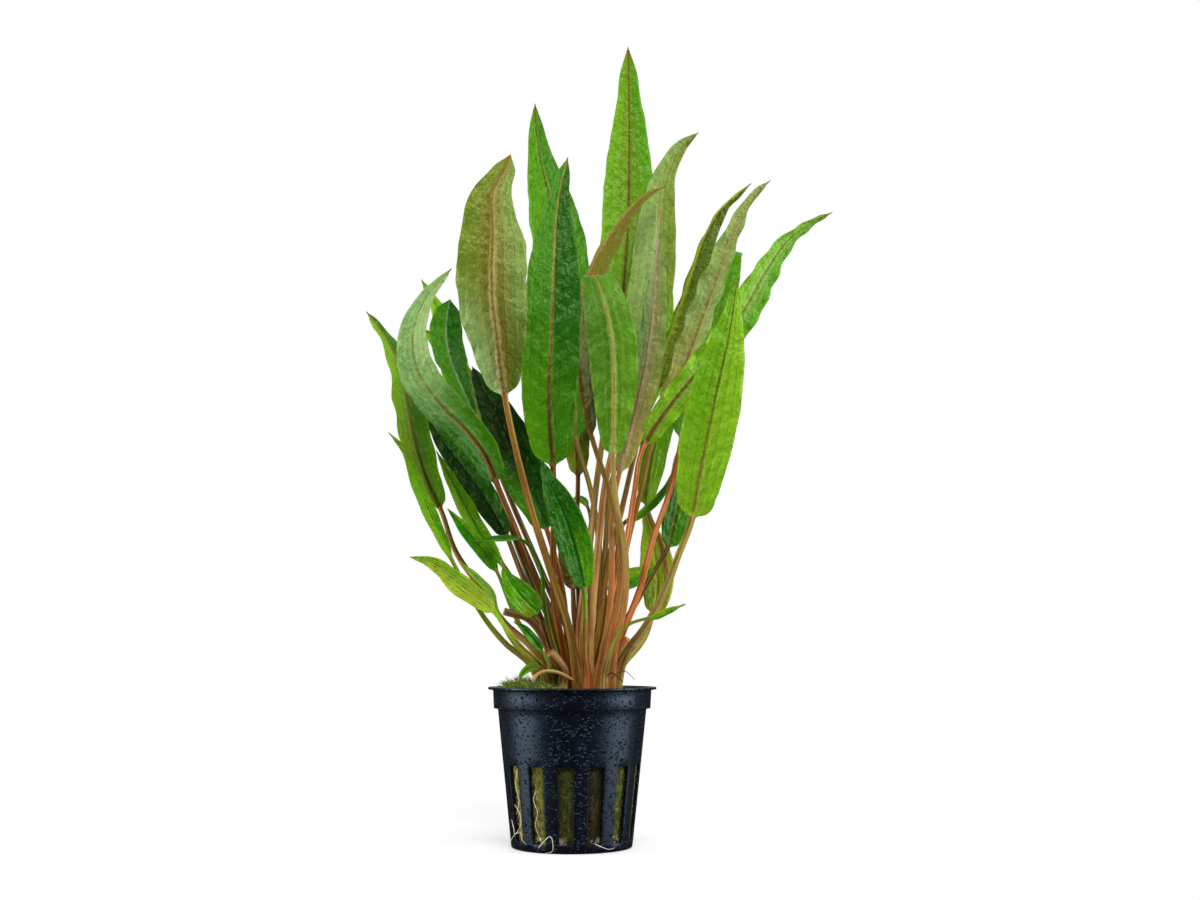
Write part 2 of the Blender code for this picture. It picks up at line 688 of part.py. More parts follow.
def moss_mesh(bm):
    """A crescent cushion between the rootstock and the pot's band, at the front left."""
    floor_height = ROCKWOOL_TOP + GAP
    near_radii = [axis + MOSS_CLEARANCE for axis in ROOTSTOCK_RADII]
    columns = []
    for i in range(MOSS_COLUMNS + 1):
        along = i / MOSS_COLUMNS
        angle = math.radians(
            MOSS_START_DEGREES + (MOSS_END_DEGREES - MOSS_START_DEGREES) * along
        )
        way = Vector((math.sin(angle), -math.cos(angle), 0))
        near = Vector((
            ROOTSTOCK_CENTRE_X + near_radii[0] * way.x, near_radii[1] * way.y, 0
        ))
        far = way * MOSS_OUTER_RADIUS
        rise = (MOSS_TOP - floor_height) * math.sin(math.pi * along) ** 0.5
        column = []
        for k in range(MOSS_ROWS + 1):
            out = k / MOSS_ROWS
            lump = MOSS_LUMP * math.sin(5.0 * i + 2.3 * k)
            crown = rise * math.sin(math.pi * (0.12 + 0.76 * out))
            height = max(crown + lump, MOSS_LEAST_HEIGHT)
            point = near.lerp(far, out)
            column.append(Vector((point.x, point.y, floor_height + height)))
        low_far = Vector((far.x, far.y, floor_height))
        low_near = Vector((near.x, near.y, floor_height))
        columns.append([*column, low_far, low_near])
    close_rings(bm, columns)


def material(name, colour, roughness, sheen=0.0):
    made = bpy.data.materials.new(name)
    made.use_nodes = True
    shader = made.node_tree.nodes["Principled BSDF"]
    shader.inputs["Base Color"].default_value = (*colour, 1)
    shader.inputs["Roughness"].default_value = roughness
    shader.inputs["Metallic"].default_value = 0.0
    shader.inputs["Sheen Weight"].default_value = sheen
    return made


def add(name, finish, shape, *details):
    """Makes the object of one piece from the function that shapes its mesh."""
    bm = bmesh.new()
    shape(bm, *details)
    bmesh.ops.recalc_face_normals(bm, faces=bm.faces)
    mesh = bpy.data.meshes.new(name)
    bm.to_mesh(mesh)
    bm.free()
    mesh.materials.append(finish)
    mesh.shade_smooth()
    mesh.set_sharp_from_angle(angle=math.radians(40))
    piece = bpy.data.objects.new(name, mesh)
    bpy.context.scene.collection.objects.link(piece)
    return piece


def main():
    for piece in list(bpy.data.objects):
        bpy.data.objects.remove(piece, do_unlink=True)
    add("pot", material("pot", PLASTIC_BLACK, 0.3), pot_mesh)
    add("rockwool", material("rockwool", ROCKWOOL_OLIVE, 0.9), rockwool_mesh)
    add("rootstock", material("rootstock", ROOTSTOCK_BROWN, 0.8), rootstock_mesh)
    add("moss", material("moss", MOSS_GREEN, 0.9, 0.3), moss_mesh)
    for name, leaf in LEAVES.items():
        add(name, material(name, GREEN, 0.35), leaf_mesh, leaf)
    for name, (seat, pixels, behind, thick) in CUT_STALKS.items():
        finish = material(name, STALK_BROWN, 0.5)
        add(name, finish, cut_stalk_mesh, seat, pixels, behind, thick)
    add("runner", material("runner", ROOT_PALE, 0.5), runner_mesh)


main()
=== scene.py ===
"""The looks of the potted cryptocoryne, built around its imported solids.

Frame: +Z up, the origin at the middle of the pot's flat base, and -Y towards the viewer.
Lengths are in mm until a mesh is made, which is in metres.
"""

import math
from dataclasses import dataclass

import bpy
import numpy as np
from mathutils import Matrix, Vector, noise

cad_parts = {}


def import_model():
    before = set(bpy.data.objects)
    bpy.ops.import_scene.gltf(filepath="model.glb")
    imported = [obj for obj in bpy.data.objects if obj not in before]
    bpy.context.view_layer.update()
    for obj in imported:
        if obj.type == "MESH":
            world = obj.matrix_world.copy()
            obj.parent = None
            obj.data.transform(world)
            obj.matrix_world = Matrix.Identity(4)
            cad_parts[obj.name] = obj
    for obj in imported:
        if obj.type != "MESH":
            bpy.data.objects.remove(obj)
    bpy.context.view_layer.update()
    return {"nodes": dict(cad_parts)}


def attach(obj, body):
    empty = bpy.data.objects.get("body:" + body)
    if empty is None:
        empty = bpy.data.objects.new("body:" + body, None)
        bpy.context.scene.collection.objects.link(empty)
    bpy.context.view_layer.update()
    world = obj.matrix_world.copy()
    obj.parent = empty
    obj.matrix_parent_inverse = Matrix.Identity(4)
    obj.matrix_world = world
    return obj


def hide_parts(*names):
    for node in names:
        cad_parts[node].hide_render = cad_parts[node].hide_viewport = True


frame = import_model()

MM = 0.001

# The eye that saw the reference photograph, which has 1200 by 900 pixels
EYE = Vector((8.4, -450.0, 57.0))
EYE_TILT = math.radians(7.9)
FOCAL_PIXELS = 1466.4
PHOTO_SIZE = (1200.0, 900.0)
SENSOR_WIDTH = 36.0

# Leaf surfaces
STALK_RINGS = 5  # rings of a leaf's solid below its blade
RIB_TIP_RADIUS = 0.2
SIDE_COLUMNS = 13  # points from the rib to a margin, the rib's own included
STALK_STEP = 2.0
BLADE_STEP = 1.15
MARGIN_THICKNESS = 0.1
LAMINA_THICKNESS = 0.26
MOST_BLADE_RINGS = 110
LEAST_BLADE_RINGS = 24

# Pot
SLOTS = 14
FIRST_SLOT_DEGREES = -4.2  # from the front towards +X, to the middle of a slot
COLUMN_PARTS = 6  # fine columns in a slot's width, and in that of the wall between slots
SLOT_BOTTOM = 2.4
SLOT_TOP = 24.4
BAND_DEPTH = 6.3
LIP_THICKNESS = 0.9
BAND_RADIUS = 24.0
BAND_DRAFT = 0.3
STEP_RADIUS = 22.5
BASE_RADIUS = 18.1
WALL = 1.1
FLOOR = 1.3
FLOOR_HUB_RADIUS = 5.0
FLOOR_SLOT_END = 14.0
POT_BEVEL = 0.16
POT_HEIGHT = 47.0
LIP_RADIUS = 25.5
LIP_SLOPE = 0.2
STEP_SOFTENING = 0.5
GAP = 0.35

# What the pot holds
ROCKWOOL_TOP = 43.8
ROOTSTOCK_CENTRE_X = 3.5
ROOTSTOCK_RADII = (15.0, 12.6)
ROOTSTOCK_TOP = 44.6
MOSS_TOP = 49.0
MOSS_OUTER_RADIUS = 21.6
MOSS_START_DEGREES = -108.0  # from the front towards +X
MOSS_END_DEGREES = -8.0
MOSS_STEMS = 3200
TUBE_SIDES = 16
ROOT_STEPS = 40
RUNNER_START = ((573, 680), -19.0)  # pixel and mm behind the pot's axis
RANDOM_SEED = 11

COLOURS = {
    "lemon": (182, 212, 44),
    "lime": (142, 198, 32),
    "bright": (116, 180, 18),
    "fresh": (90, 160, 10),
    "mid": (66, 136, 8),
    "emerald": (50, 156, 12),
    "deep": (26, 98, 6),
    # The next two are painted shadow: very dark greens for leaves, and parts of leaves, that sit in shade inside
    # the plant.
    "shadow_green": (4, 54, 4),
    "shadow_black": (2, 14, 1),
    "olive": (118, 140, 18),
    "olive_dark": (84, 102, 10),
    "olive_yellow": (158, 166, 46),
    # The next five pale colours are partly painted sheen on leaves, standing for lamp reflections over the leaf's
    # own green; the first also tints the undersides, which are truly paler.
    "sage": (134, 160, 76),
    "pale": (156, 184, 100),
    "mint": (170, 206, 128),
    "mist_sheen": (146, 190, 110),
    "steel_sheen": (120, 160, 116),
    "wheat": (206, 188, 96),
    "straw": (178, 152, 84),
    "pink": (192, 152, 122),
    "bronze": (112, 96, 12),
    "umber": (86, 72, 10),
    "umber_dark": (62, 44, 6),
    "amber": (160, 112, 30),
    "rust": (150, 84, 22),
    "sienna": (112, 54, 10),
    "brown": (78, 44, 12),
    "red_brown": (142, 68, 28),
    "terracotta": (216, 124, 68),
    "tan": (226, 164, 98),
    "olive_tan": (164, 148, 66),
    "khaki": (140, 104, 42),
    "dark_stalk": (50, 36, 12),
    "tip": (156, 100, 22),
    "root_white": (232, 216, 188),
    "root_pink": (206, 158, 122),
    "pot_black": (5, 7, 14),
    "pot_grey": (12, 17, 30),
    "wool_olive": (142, 136, 50),
    "wool_pale": (190, 184, 104),
    # The next colour is painted shade: the plug's very dark brown where it sits back in shadow.
    "wool_brown": (66, 50, 14),
    "wool_shade": (20, 17, 6),
    "algae": (82, 108, 12),
    "moss_dark": (30, 52, 12),
    "moss_mid": (74, 106, 24),
    "moss_bright": (140, 168, 56),
    "moss_straw": (172, 162, 84),
}


def linear(red, green, blue):
    """A linear colour from display values of 0 to 255."""
    return tuple(((value / 255 + 0.055) / 1.055) ** 2.4 for value in (red, green, blue))


@dataclass
class Look:
    """A leaf's colours, as named in COLOURS, and how its blade is shaped finely.

    left, right: sides of the blade as the photograph shows them, low and high on the blade.
    middle: a band along the rib, with middle_share its strength.
    turn: place along the blade where its low colours give way to its high ones.
    ripple: height of the waves in its margins, in mm.
    puckers: strength of the folds between its veins.
    fuller: how much wider the blade's upper half is than its solid, as a share.
    bulge: how far the blade swings to the viewer's right below its tip, in mm.
    """

    left: tuple
    right: tuple
    rib: str = "olive_tan"
    rib_tip: str = "olive"
    stalk: str = "khaki"
    stalk_top: str = "olive_tan"
    middle: str = "olive"
    middle_share: float = 0.0
    tip: str = "tip"
    ripple: float = 0.5
    puckers: float = 1.0
    gloss: float = 0.3
    turn: float = 0.33
    fuller: float = 0.0
    bulge: float = 0.0


# The side colours are the leaves' own colours with painted light and shade in them: pale painted sheen, painted
# shade on the far half of a fold, and very dark painted shadow on leaves deep in the plant.
LOOKS = {
    "leaf_01": Look(("bright", "bright"), ("fresh", "fresh"), "bronze", "bronze", "tan", "straw",
                    middle_share=0.6, ripple=0.35),
    # Its pale left half and the pale band along its rib are partly painted sheen.
    "leaf_02": Look(("deep", "pale"), ("olive_dark", "olive"), "olive_tan", "olive_tan", "tan",
                    "terracotta", "pale", 0.3, ripple=0.6),
    "leaf_03": Look(("olive", "olive"), ("bright", "bright"), stalk="red_brown"),
    "leaf_04": Look(("olive_dark", "olive"), ("umber_dark", "bronze"), "rust", "amber", "terracotta",
                    "amber", "rust", 0.35, ripple=0.4),
    "leaf_05": Look(("fresh", "mid"), ("bright", "fresh"), "olive_tan", "olive_tan", "terracotta",
                    "straw", "olive", 0.2, ripple=0.6, puckers=1.5),
    # Its mint and sage upper blade is partly painted bluish sheen.
    "leaf_06": Look(("olive_tan", "mint"), ("wheat", "sage"), "pink", "pink", "terracotta",
                    "terracotta", "pink", 0.5, ripple=0.45),
    "leaf_07": Look(("lemon", "lemon"), ("olive", "olive_dark"), "olive_yellow", "olive_yellow",
                    "amber", "khaki", ripple=0.35),
    # Its pale and sage colours are partly painted sheen.
    "leaf_08": Look(("straw", "pale"), ("sage", "sage"), "rust", "straw", "rust", "rust",
                    "straw", 0.4, ripple=0.8),
    "leaf_09": Look(("mid", "mid"), ("fresh", "fresh"), "brown", "mid", "terracotta",
                    "terracotta", tip="mid"),
    # The pale band along its rib is partly painted sheen.
    "leaf_10": Look(("lime", "bright"), ("lime", "fresh"), "khaki", "olive", "terracotta",
                    "terracotta", "pale", 0.4, ripple=0.9),
    "leaf_11": Look(("lime", "bright"), ("lime", "lime"), "olive_yellow", "olive", "straw",
                    "olive_tan", "olive", 0.15, ripple=0.55, puckers=1.4),
    "leaf_12": Look(("deep", "olive_dark"), ("mid", "mid"), "olive_dark", "olive_dark",
                    "dark_stalk", "umber", ripple=0.7),
    "leaf_13": Look(("olive", "lemon"), ("olive_yellow", "lemon"), "olive_yellow", "olive_yellow",
                    "olive_tan", "olive_yellow", "olive", 0.35, "amber", ripple=0.4),
    "leaf_14": Look(("lime", "lime"), ("mid", "emerald"), "bright", "bright", "olive_tan",
                    "olive", tip="deep"),
    "leaf_15": Look(("lime", "lime"), ("fresh", "fresh"), "lime", "lime", "straw",
                    "olive", tip="mid", ripple=0.1),
    "leaf_16": Look(("bright", "bright"), ("bright", "bright"), "mid", "mid", "olive", "mid",
                    tip="bright", ripple=0.1),
    # The mint on its lower left and the sage high on its right are partly painted sheen.
    "leaf_17": Look(("mint", "olive"), ("olive_dark", "sage"), "sienna", "rust", "rust", "rust",
                    "rust", 0.45, ripple=0.6, puckers=1.5, gloss=0.24, bulge=-2.3),
    # Its darker right half is painted shade, where the folded blade turns from the light.
    "leaf_18": Look(("fresh", "mid"), ("mid", "deep"), "umber", "olive_tan", "rust", "sienna",
                    "deep", 0.12, "olive", 0.5, 1.4),
    "leaf_19": Look(("fresh", "fresh"), ("mid", "mid"), "olive", "bronze", "khaki", "olive_tan",
                    ripple=0.4, fuller=0.32),
    "leaf_20": Look(("olive_yellow", "olive"), ("olive_dark", "umber_dark"), "bronze", "bronze",
                    "dark_stalk", "brown"),
    # The pale bluish green on its upper blade and the mint along its rib are partly painted sheen.
    "leaf_21": Look(("deep", "mist_sheen"), ("mid", "mint"), "sienna", "pale", "khaki", "sienna",
                    "mint", 0.2, ripple=0.5, turn=0.45),
    "leaf_22": Look(("olive_yellow", "lime"), ("bright", "mid"), "olive_dark", "olive_tan",
                    "straw", "khaki", "sage", 0.3, ripple=0.8),
    "leaf_23": Look(("lime", "bright"), ("fresh", "bright"), "lime", "lime", "olive_tan",
                    "bright", tip="sage", ripple=0.3),
    "leaf_24": Look(("lemon", "lemon"), ("lemon", "lime"), "lemon", "lemon", "olive", "lime",
                    "pale", 0.3, "bright"),
    "leaf_25": Look(("mist_sheen", "lime"), ("lime", "lime"), "mist_sheen", "mist_sheen", "olive_yellow", "lime",
                    tip="mid", ripple=0.2),
    # Painted shadow: its left half is very dark green for the shade it sits in.
    "leaf_26": Look(("shadow_green", "shadow_green"), ("deep", "deep"), "shadow_green", "shadow_green", "brown", "brown",
                    tip="bright"),
    "leaf_27": Look(("mid", "lime"), ("bright", "bright"), "fresh", "fresh", "red_brown",
                    "olive", tip="mid"),
    "leaf_28": Look(("fresh", "emerald"), ("mid", "bright"), "fresh", "mid", "red_brown",
                    "olive", tip="mid", ripple=0.3),
    "leaf_29": Look(("mid", "mid"), ("deep", "deep"), "deep", "deep", "mid", "mid", tip="mid",
                    ripple=0.2),
    "leaf_30": Look(("olive", "fresh"), ("mid", "mid"), "fresh", "fresh", "brown", "brown",
                    tip="fresh", ripple=0.3, gloss=0.24),
    "leaf_31": Look(("mid", "mid"), ("deep", "deep"), "deep", "deep", "emerald", "mid",
                    tip="deep", ripple=0.2),
    # Painted shadow: its upper blade, the rib's upper end, the tip and the band along its rib are very dark for the
    # shade it sits in.
    "leaf_32": Look(("mid", "shadow_green"), ("deep", "shadow_green"), "deep", "shadow_black", "khaki", "rust",
                    "shadow_black", 0.3, "shadow_black", ripple=0.4),
    "leaf_33": Look(("deep", "deep"), ("fresh", "deep"), "deep", "deep", "terracotta", "mid",
                    tip="deep", gloss=0.24),
    # Its dark umber upper blade is painted shadow.
    "leaf_34": Look(("umber", "umber_dark"), ("umber_dark", "umber_dark"), "khaki", "khaki",
                    "rust", "brown", tip="brown", ripple=0.2),
    # Its right half's very dark green is painted shade, and the bluish grey at the rib's upper end is a painted
    # sheen.
    "leaf_35": Look(("mid", "mid"), ("shadow_green", "deep"), "mid", "steel_sheen", "dark_stalk", "brown",
                    tip="deep", ripple=0.3),
    "leaf_36": Look(("bright", "bright"), ("olive_dark", "olive_dark"), "olive", "olive",
                    "brown", "brown"),
    "leaf_37": Look(("lime", "lime"), ("bright", "bright"), "olive", "olive", "brown", "brown"),
    "leaf_38": Look(("bright", "emerald"), ("lime", "bright"), "olive_yellow", "lime",
                    "olive_tan", "amber"),
    "leaf_39": Look(("bright", "bright"), ("bright", "emerald"), "lime", "lime", "red_brown",
                    "red_brown", tip="deep", ripple=0.2),
    "leaf_40": Look(("bright", "bright"), ("sage", "bright"), "sage", "mid", "straw", "straw",
                    tip="mid", ripple=0.1),
    "leaf_41": Look(("fresh", "bright"), ("mid", "mid"), "lime", "lime", "amber", "khaki",
                    tip="deep", ripple=0.1),
}


def seen_at(pixel, behind):
    """The point in mm, so far behind the pot's axis, that the eye sees at a pixel."""
    side = (pixel[0] - PHOTO_SIZE[0] / 2) / FOCAL_PIXELS
    rise = (PHOTO_SIZE[1] / 2 - pixel[1]) / FOCAL_PIXELS
    depth = math.cos(EYE_TILT) - rise * math.sin(EYE_TILT)
    height = math.sin(EYE_TILT) + rise * math.cos(EYE_TILT)
    reach = (behind - EYE.y) / depth
    return EYE + reach * Vector((side, depth, height))


def unit(vectors):
    return vectors / np.maximum(np.linalg.norm(vectors, axis=-1, keepdims=True), 1e-9)


def ease(low, high, values):
    """0 up to low, 1 from high, and a smooth step between."""
    share = np.clip((np.asarray(values, float) - low) / (high - low), 0.0, 1.0)
    return share * share * (3 - 2 * share)


def wander(places, seed):
    """Smooth noise of about -1 to 1 at places along a line."""
    return np.array([noise.noise(Vector((place, seed * 3.7, seed * 1.3))) for place in places])


def smooth(knots, values, at, bounded=False):
    """A cubic curve through values at knots, read at places.

    A bounded curve doesn't swing past the values it runs between.
    """
    knots = np.asarray(knots, float)
    values = np.asarray(values, float)
    rows = values.reshape(len(knots), -1)
    gaps = np.diff(knots)[:, None]
    steps = np.diff(rows, axis=0) / gaps
    slopes = np.empty_like(rows)
    slopes[1:-1] = (steps[:-1] * gaps[1:] + steps[1:] * gaps[:-1]) / (gaps[1:] + gaps[:-1])
    slopes[0] = steps[0]
    slopes[-1] = steps[-1]
    if bounded:
        least = np.minimum(np.abs(steps[:-1]), np.abs(steps[1:]))
        level = steps[:-1] * steps[1:] <= 0
        slopes[1:-1] = np.where(level, 0, np.clip(slopes[1:-1], -3 * least, 3 * least))
    place = np.clip(np.searchsorted(knots, at, side="right") - 1, 0, len(gaps) - 1)
    gap = gaps[place]
    t = (np.asarray(at)[:, None] - knots[place][:, None]) / gap
    curve = (
        (2 * t**3 - 3 * t**2 + 1) * rows[place]
        + (t**3 - 2 * t**2 + t) * gap * slopes[place]
        + (3 * t**2 - 2 * t**3) * rows[place + 1]
        + (t**3 - t**2) * gap * slopes[place + 1]
    )
    return curve.reshape(len(at), *values.shape[1:])


# The rings of a leaf's or stalk's solid


def corners_of(node):
    """Distinct corners of a solid in mm, and the set of neighbours of each."""
    mesh = frame["nodes"][node].data
    numbers = {}
    points = []
    of_vertex = []
    for vertex in mesh.vertices:
        key = tuple(round(value * 1e6) for value in vertex.co)
        if key not in numbers:
            numbers[key] = len(points)
            points.append(np.array(vertex.co) / MM)
        of_vertex.append(numbers[key])
    near = [set() for _ in points]
    for edge in mesh.edges:
        a, b = (of_vertex[i] for i in edge.vertices)
        if a != b:
            near[a].add(b)
            near[b].add(a)
    return np.array(points), near


def levels_of(points, near, start):
    """Corners of a solid in rings, each ring the neighbours of the one before, from one end."""
    if start is None:
        ring = [i for i in range(len(points)) if points[i, 2] < points[:, 2].min() + 0.02]
    else:
        ring = list(np.argsort(np.linalg.norm(points - np.array(start), axis=1))[:6])
    levels = [ring]
    seen = set(ring)
    while True:
        following = sorted({n for i in levels[-1] for n in near[i]} - seen)
        if not following:
            return levels
        seen.update(following)
        levels.append(following)


def round_ring(ring, near):
    """A ring's corners in their order around it."""
    loop = [ring[0]]
    while len(loop) < len(ring):
        loop.append(next(n for n in sorted(near[loop[-1]]) if n in ring and n not in loop))
    return loop


def width_of(points, ring):
    return max(np.linalg.norm(points[a] - points[b]) for a in ring for b in ring)


def section_rings(node, start=None):
    """Rings of six corners in mm: right margin, top, left margin, and three below, foot first.

    The last item is the tip's point, or the middle of the last ring where the end is cut. A start
    is a point in the middle of the first ring, where that isn't the solid's level foot.
    """
    points, near = corners_of(node)
    levels = levels_of(points, near, start)
    tip = points[levels[-1][0]] if len(levels[-1]) == 1 else None
    rings = [ring for ring in levels if len(ring) == 6]
    widest = max(range(1, len(rings) - 1), key=lambda k: width_of(points, rings[k]))
    loop = round_ring(rings[widest], near)
    start = max(range(6), key=lambda i: np.linalg.norm(points[loop[i]] - points[loop[(i + 2) % 6]]))
    loop = loop[start:] + loop[:start]
    forward = points[rings[widest + 1]].mean(axis=0) - points[loop].mean(axis=0)
    across = np.cross(forward, points[loop[1]] - points[loop[4]])
    if np.dot(points[loop[0]] - points[loop[2]], across) < 0:
        loop = [loop[i] for i in (2, 1, 0, 5, 4, 3)]
    ordered = {widest: loop}
    for k in range(widest - 1, -1, -1):
        high = ordered[k + 1]
        ring = set(rings[k])
        ordered[k] = [(near[high[i]] & near[high[(i + 1) % 6]] & ring).pop() for i in range(6)]
    for k in range(widest + 1, len(rings)):
        low = ordered[k - 1]
        ring = set(rings[k])
        ordered[k] = [(near[low[i - 1]] & near[low[i]] & ring).pop() for i in range(6)]
    found = np.array([points[ordered[k]] for k in range(len(rings))])
    return found, tip if tip is not None else found[-1].mean(axis=0)


# Meshes


def new_piece(name, points, faces, finish, attributes=None, replaces=()):
    """Makes an object from points in mm, and lets it ride on the plant's one body."""
    mesh = bpy.data.meshes.new(name)
    mesh.from_pydata((np.asarray(points) * MM).tolist(), [], faces)
    for key, values in (attributes or {}).items():
        values = np.asarray(values, np.float32)
        kind = "FLOAT" if values.ndim == 1 else "FLOAT_VECTOR"
        attribute = mesh.attributes.new(key, kind, "POINT")
        attribute.data.foreach_set("value" if values.ndim == 1 else "vector", values.ravel())
    mesh.materials.append(finish)
    mesh.shade_smooth()
    piece = bpy.data.objects.new(name, mesh)
    bpy.context.scene.collection.objects.link(piece)
    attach(piece, "root")
    if replaces:
        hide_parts(*replaces)
    return piece


def tube_faces(rings, around, tip=True):
    """Faces of rings of points in order, closed at the foot, and at a tip point or a flat end."""
    faces = []
    for k in range(rings - 1):
        low = k * around
        high = low + around
        for i in range(around):
            j = (i + 1) % around
            faces.append((low + i, low + j, high + j, high + i))
    faces.append(tuple(range(around - 1, -1, -1)))
    last = (rings - 1) * around
    if tip:
        end = rings * around
        faces.extend((last + i, last + (i + 1) % around, end) for i in range(around))
    else:
        faces.append(tuple(range(last, last + around)))
    return faces


def strand_mesh(paths, radii, sides=3):
    """Points and faces of many thin strands, from an array of paths and their radii at each point."""
    paths = np.asarray(paths, float)
    count, steps, _ = paths.shape
    tangents = unit(np.gradient(paths, axis=1))
    helper = np.where(np.abs(tangents[..., 2:]) > 0.9, [[[1.0, 0.0, 0.0]]], [[[0.0, 0.0, 1.0]]])
    first = unit(np.cross(tangents, helper))
    second = np.cross(tangents, first)
    angles = 2 * np.pi * np.arange(sides) / sides
    ring = (
        first[:, :, None] * np.cos(angles)[None, None, :, None]
        + second[:, :, None] * np.sin(angles)[None, None, :, None]
    )
    points = paths[:, :, None] + ring * np.asarray(radii)[:, :, None, None]
    block = tube_faces(steps, sides, tip=False)
    faces = []
    for n in range(count):
        base = n * steps * sides
        faces.extend(tuple(base + i for i in face) for face in block)
    return points.reshape(-1, 3), faces


# Materials


class Finish:
    """A material made of nodes. Each method adds one node and gives what comes out of it."""

    def __init__(self, name):
        self.material = bpy.data.materials.new(name)
        self.material.use_nodes = True
        self.tree = self.material.node_tree
        self.shader = self.tree.nodes["Principled BSDF"]

    def put(self, socket, value):
        if isinstance(value, bpy.types.NodeSocket):
            self.tree.links.new(value, socket)
        elif value is not None:
            socket.default_value = value

    def value(self, name):
        node = self.tree.nodes.new("ShaderNodeAttribute")
        node.attribute_name = name
        return node.outputs["Fac"]

    def vector(self, name):
        node = self.tree.nodes.new("ShaderNodeAttribute")
        node.attribute_name = name
        return node.outputs["Vector"]

    def place(self):
        """The point's place in the frame, in mm."""
        node = self.tree.nodes.new("ShaderNodeNewGeometry")
        return self.stretch(node.outputs["Position"], (1000, 1000, 1000))

    def stretch(self, vector, scale):
        node = self.tree.nodes.new("ShaderNodeVectorMath")
        node.operation = "MULTIPLY"
        self.put(node.inputs[0], vector)
        self.put(node.inputs[1], scale)
        return node.outputs["Vector"]

    def noise(self, vector, scale, detail=2.0, roughness=0.5):
        node = self.tree.nodes.new("ShaderNodeTexNoise")
        self.put(node.inputs["Vector"], vector)
        self.put(node.inputs["Scale"], scale)
        self.put(node.inputs["Detail"], detail)
        self.put(node.inputs["Roughness"], roughness)
        return node.outputs["Fac"]

    def cells(self, vector, scale):
        """Distance to the nearest of scattered points, and that point's own random colour."""
        node = self.tree.nodes.new("ShaderNodeTexVoronoi")
        self.put(node.inputs["Vector"], vector)
        self.put(node.inputs["Scale"], scale)
        return node.outputs["Distance"], node.outputs["Color"]

    def math(self, operation, a, b=None, c=None):
        node = self.tree.nodes.new("ShaderNodeMath")
        node.operation = operation
        for socket, value in zip(node.inputs, (a, b, c)):
            self.put(socket, value)
        return node.outputs["Value"]

    def times(self, a, b):
        return self.math("MULTIPLY", a, b)

    def plus(self, a, b):
        return self.math("ADD", a, b)

    def step(self, value, low, high):
        """0 where the value is at low, 1 where it is at high, and smooth between."""
        node = self.tree.nodes.new("ShaderNodeMapRange")
        node.interpolation_type = "SMOOTHSTEP"
        flipped = low > high
        self.put(node.inputs["Value"], value)
        self.put(node.inputs["From Min"], min(low, high))
        self.put(node.inputs["From Max"], max(low, high))
        self.put(node.inputs["To Min"], 1.0 if flipped else 0.0)
        self.put(node.inputs["To Max"], 0.0 if flipped else 1.0)
        return node.outputs["Result"]

    def mix(self, share, a, b, way="MIX"):
        node = self.tree.nodes.new("ShaderNodeMix")
        node.data_type = "RGBA"
        node.blend_type = way
        self.put(node.inputs["Factor"], share)
        self.put(node.inputs[6], self.colour(a))
        self.put(node.inputs[7], self.colour(b))
        return node.outputs[2]

    @staticmethod
    def colour(value):
        """A named colour's own values, or what was given."""
        return (*linear(*COLOURS[value]), 1.0) if isinstance(value, str) else value

    def bump(self, height, distance, under=None):
        node = self.tree.nodes.new("ShaderNodeBump")
        self.put(node.inputs["Height"], height)
        node.inputs["Distance"].default_value = distance * MM
        self.put(node.inputs["Normal"], under)
        return node.outputs["Normal"]

    def finish(self, colour, roughness, normal=None, **constants):
        self.put(self.shader.inputs["Base Color"], self.colour(colour))
        self.put(self.shader.inputs["Roughness"], roughness)
        self.put(self.shader.inputs["Normal"], normal)
        for key, value in constants.items():
            self.shader.inputs[key.replace("_", " ")].default_value = value
        return self.material


def stalk_colour(made, lay, rise, low, high):
    """Stalk colour with fine stripes along it and brown freckles."""
    stripes = made.noise(made.stretch(lay, (1.15, 0.03, 1.0)), 1.0, 2.0, 0.65)
    blotches = made.noise(made.stretch(lay, (0.5, 0.07, 1.0)), 1.0, 3.0)
    freckles = made.noise(made.stretch(lay, (1.6, 0.9, 1.0)), 1.0, 3.0, 0.6)
    colour = made.mix(made.step(rise, 0.1, 0.85), low, high)
    dark = made.mix(1.0, colour, (0.42, 0.28, 0.22, 1.0), "MULTIPLY")
    light = made.mix(0.55, colour, "tan")
    colour = made.mix(made.times(made.step(stripes, 0.52, 0.6), 0.8), colour, dark)
    colour = made.mix(made.times(made.step(stripes, 0.48, 0.38), 0.8), colour, light)
    colour = made.mix(made.times(made.step(blotches, 0.5, 0.68), 0.5), colour, "red_brown")
    colour = made.mix(made.times(made.step(freckles, 0.58, 0.7), 0.4), colour, dark)
    return colour, stripes


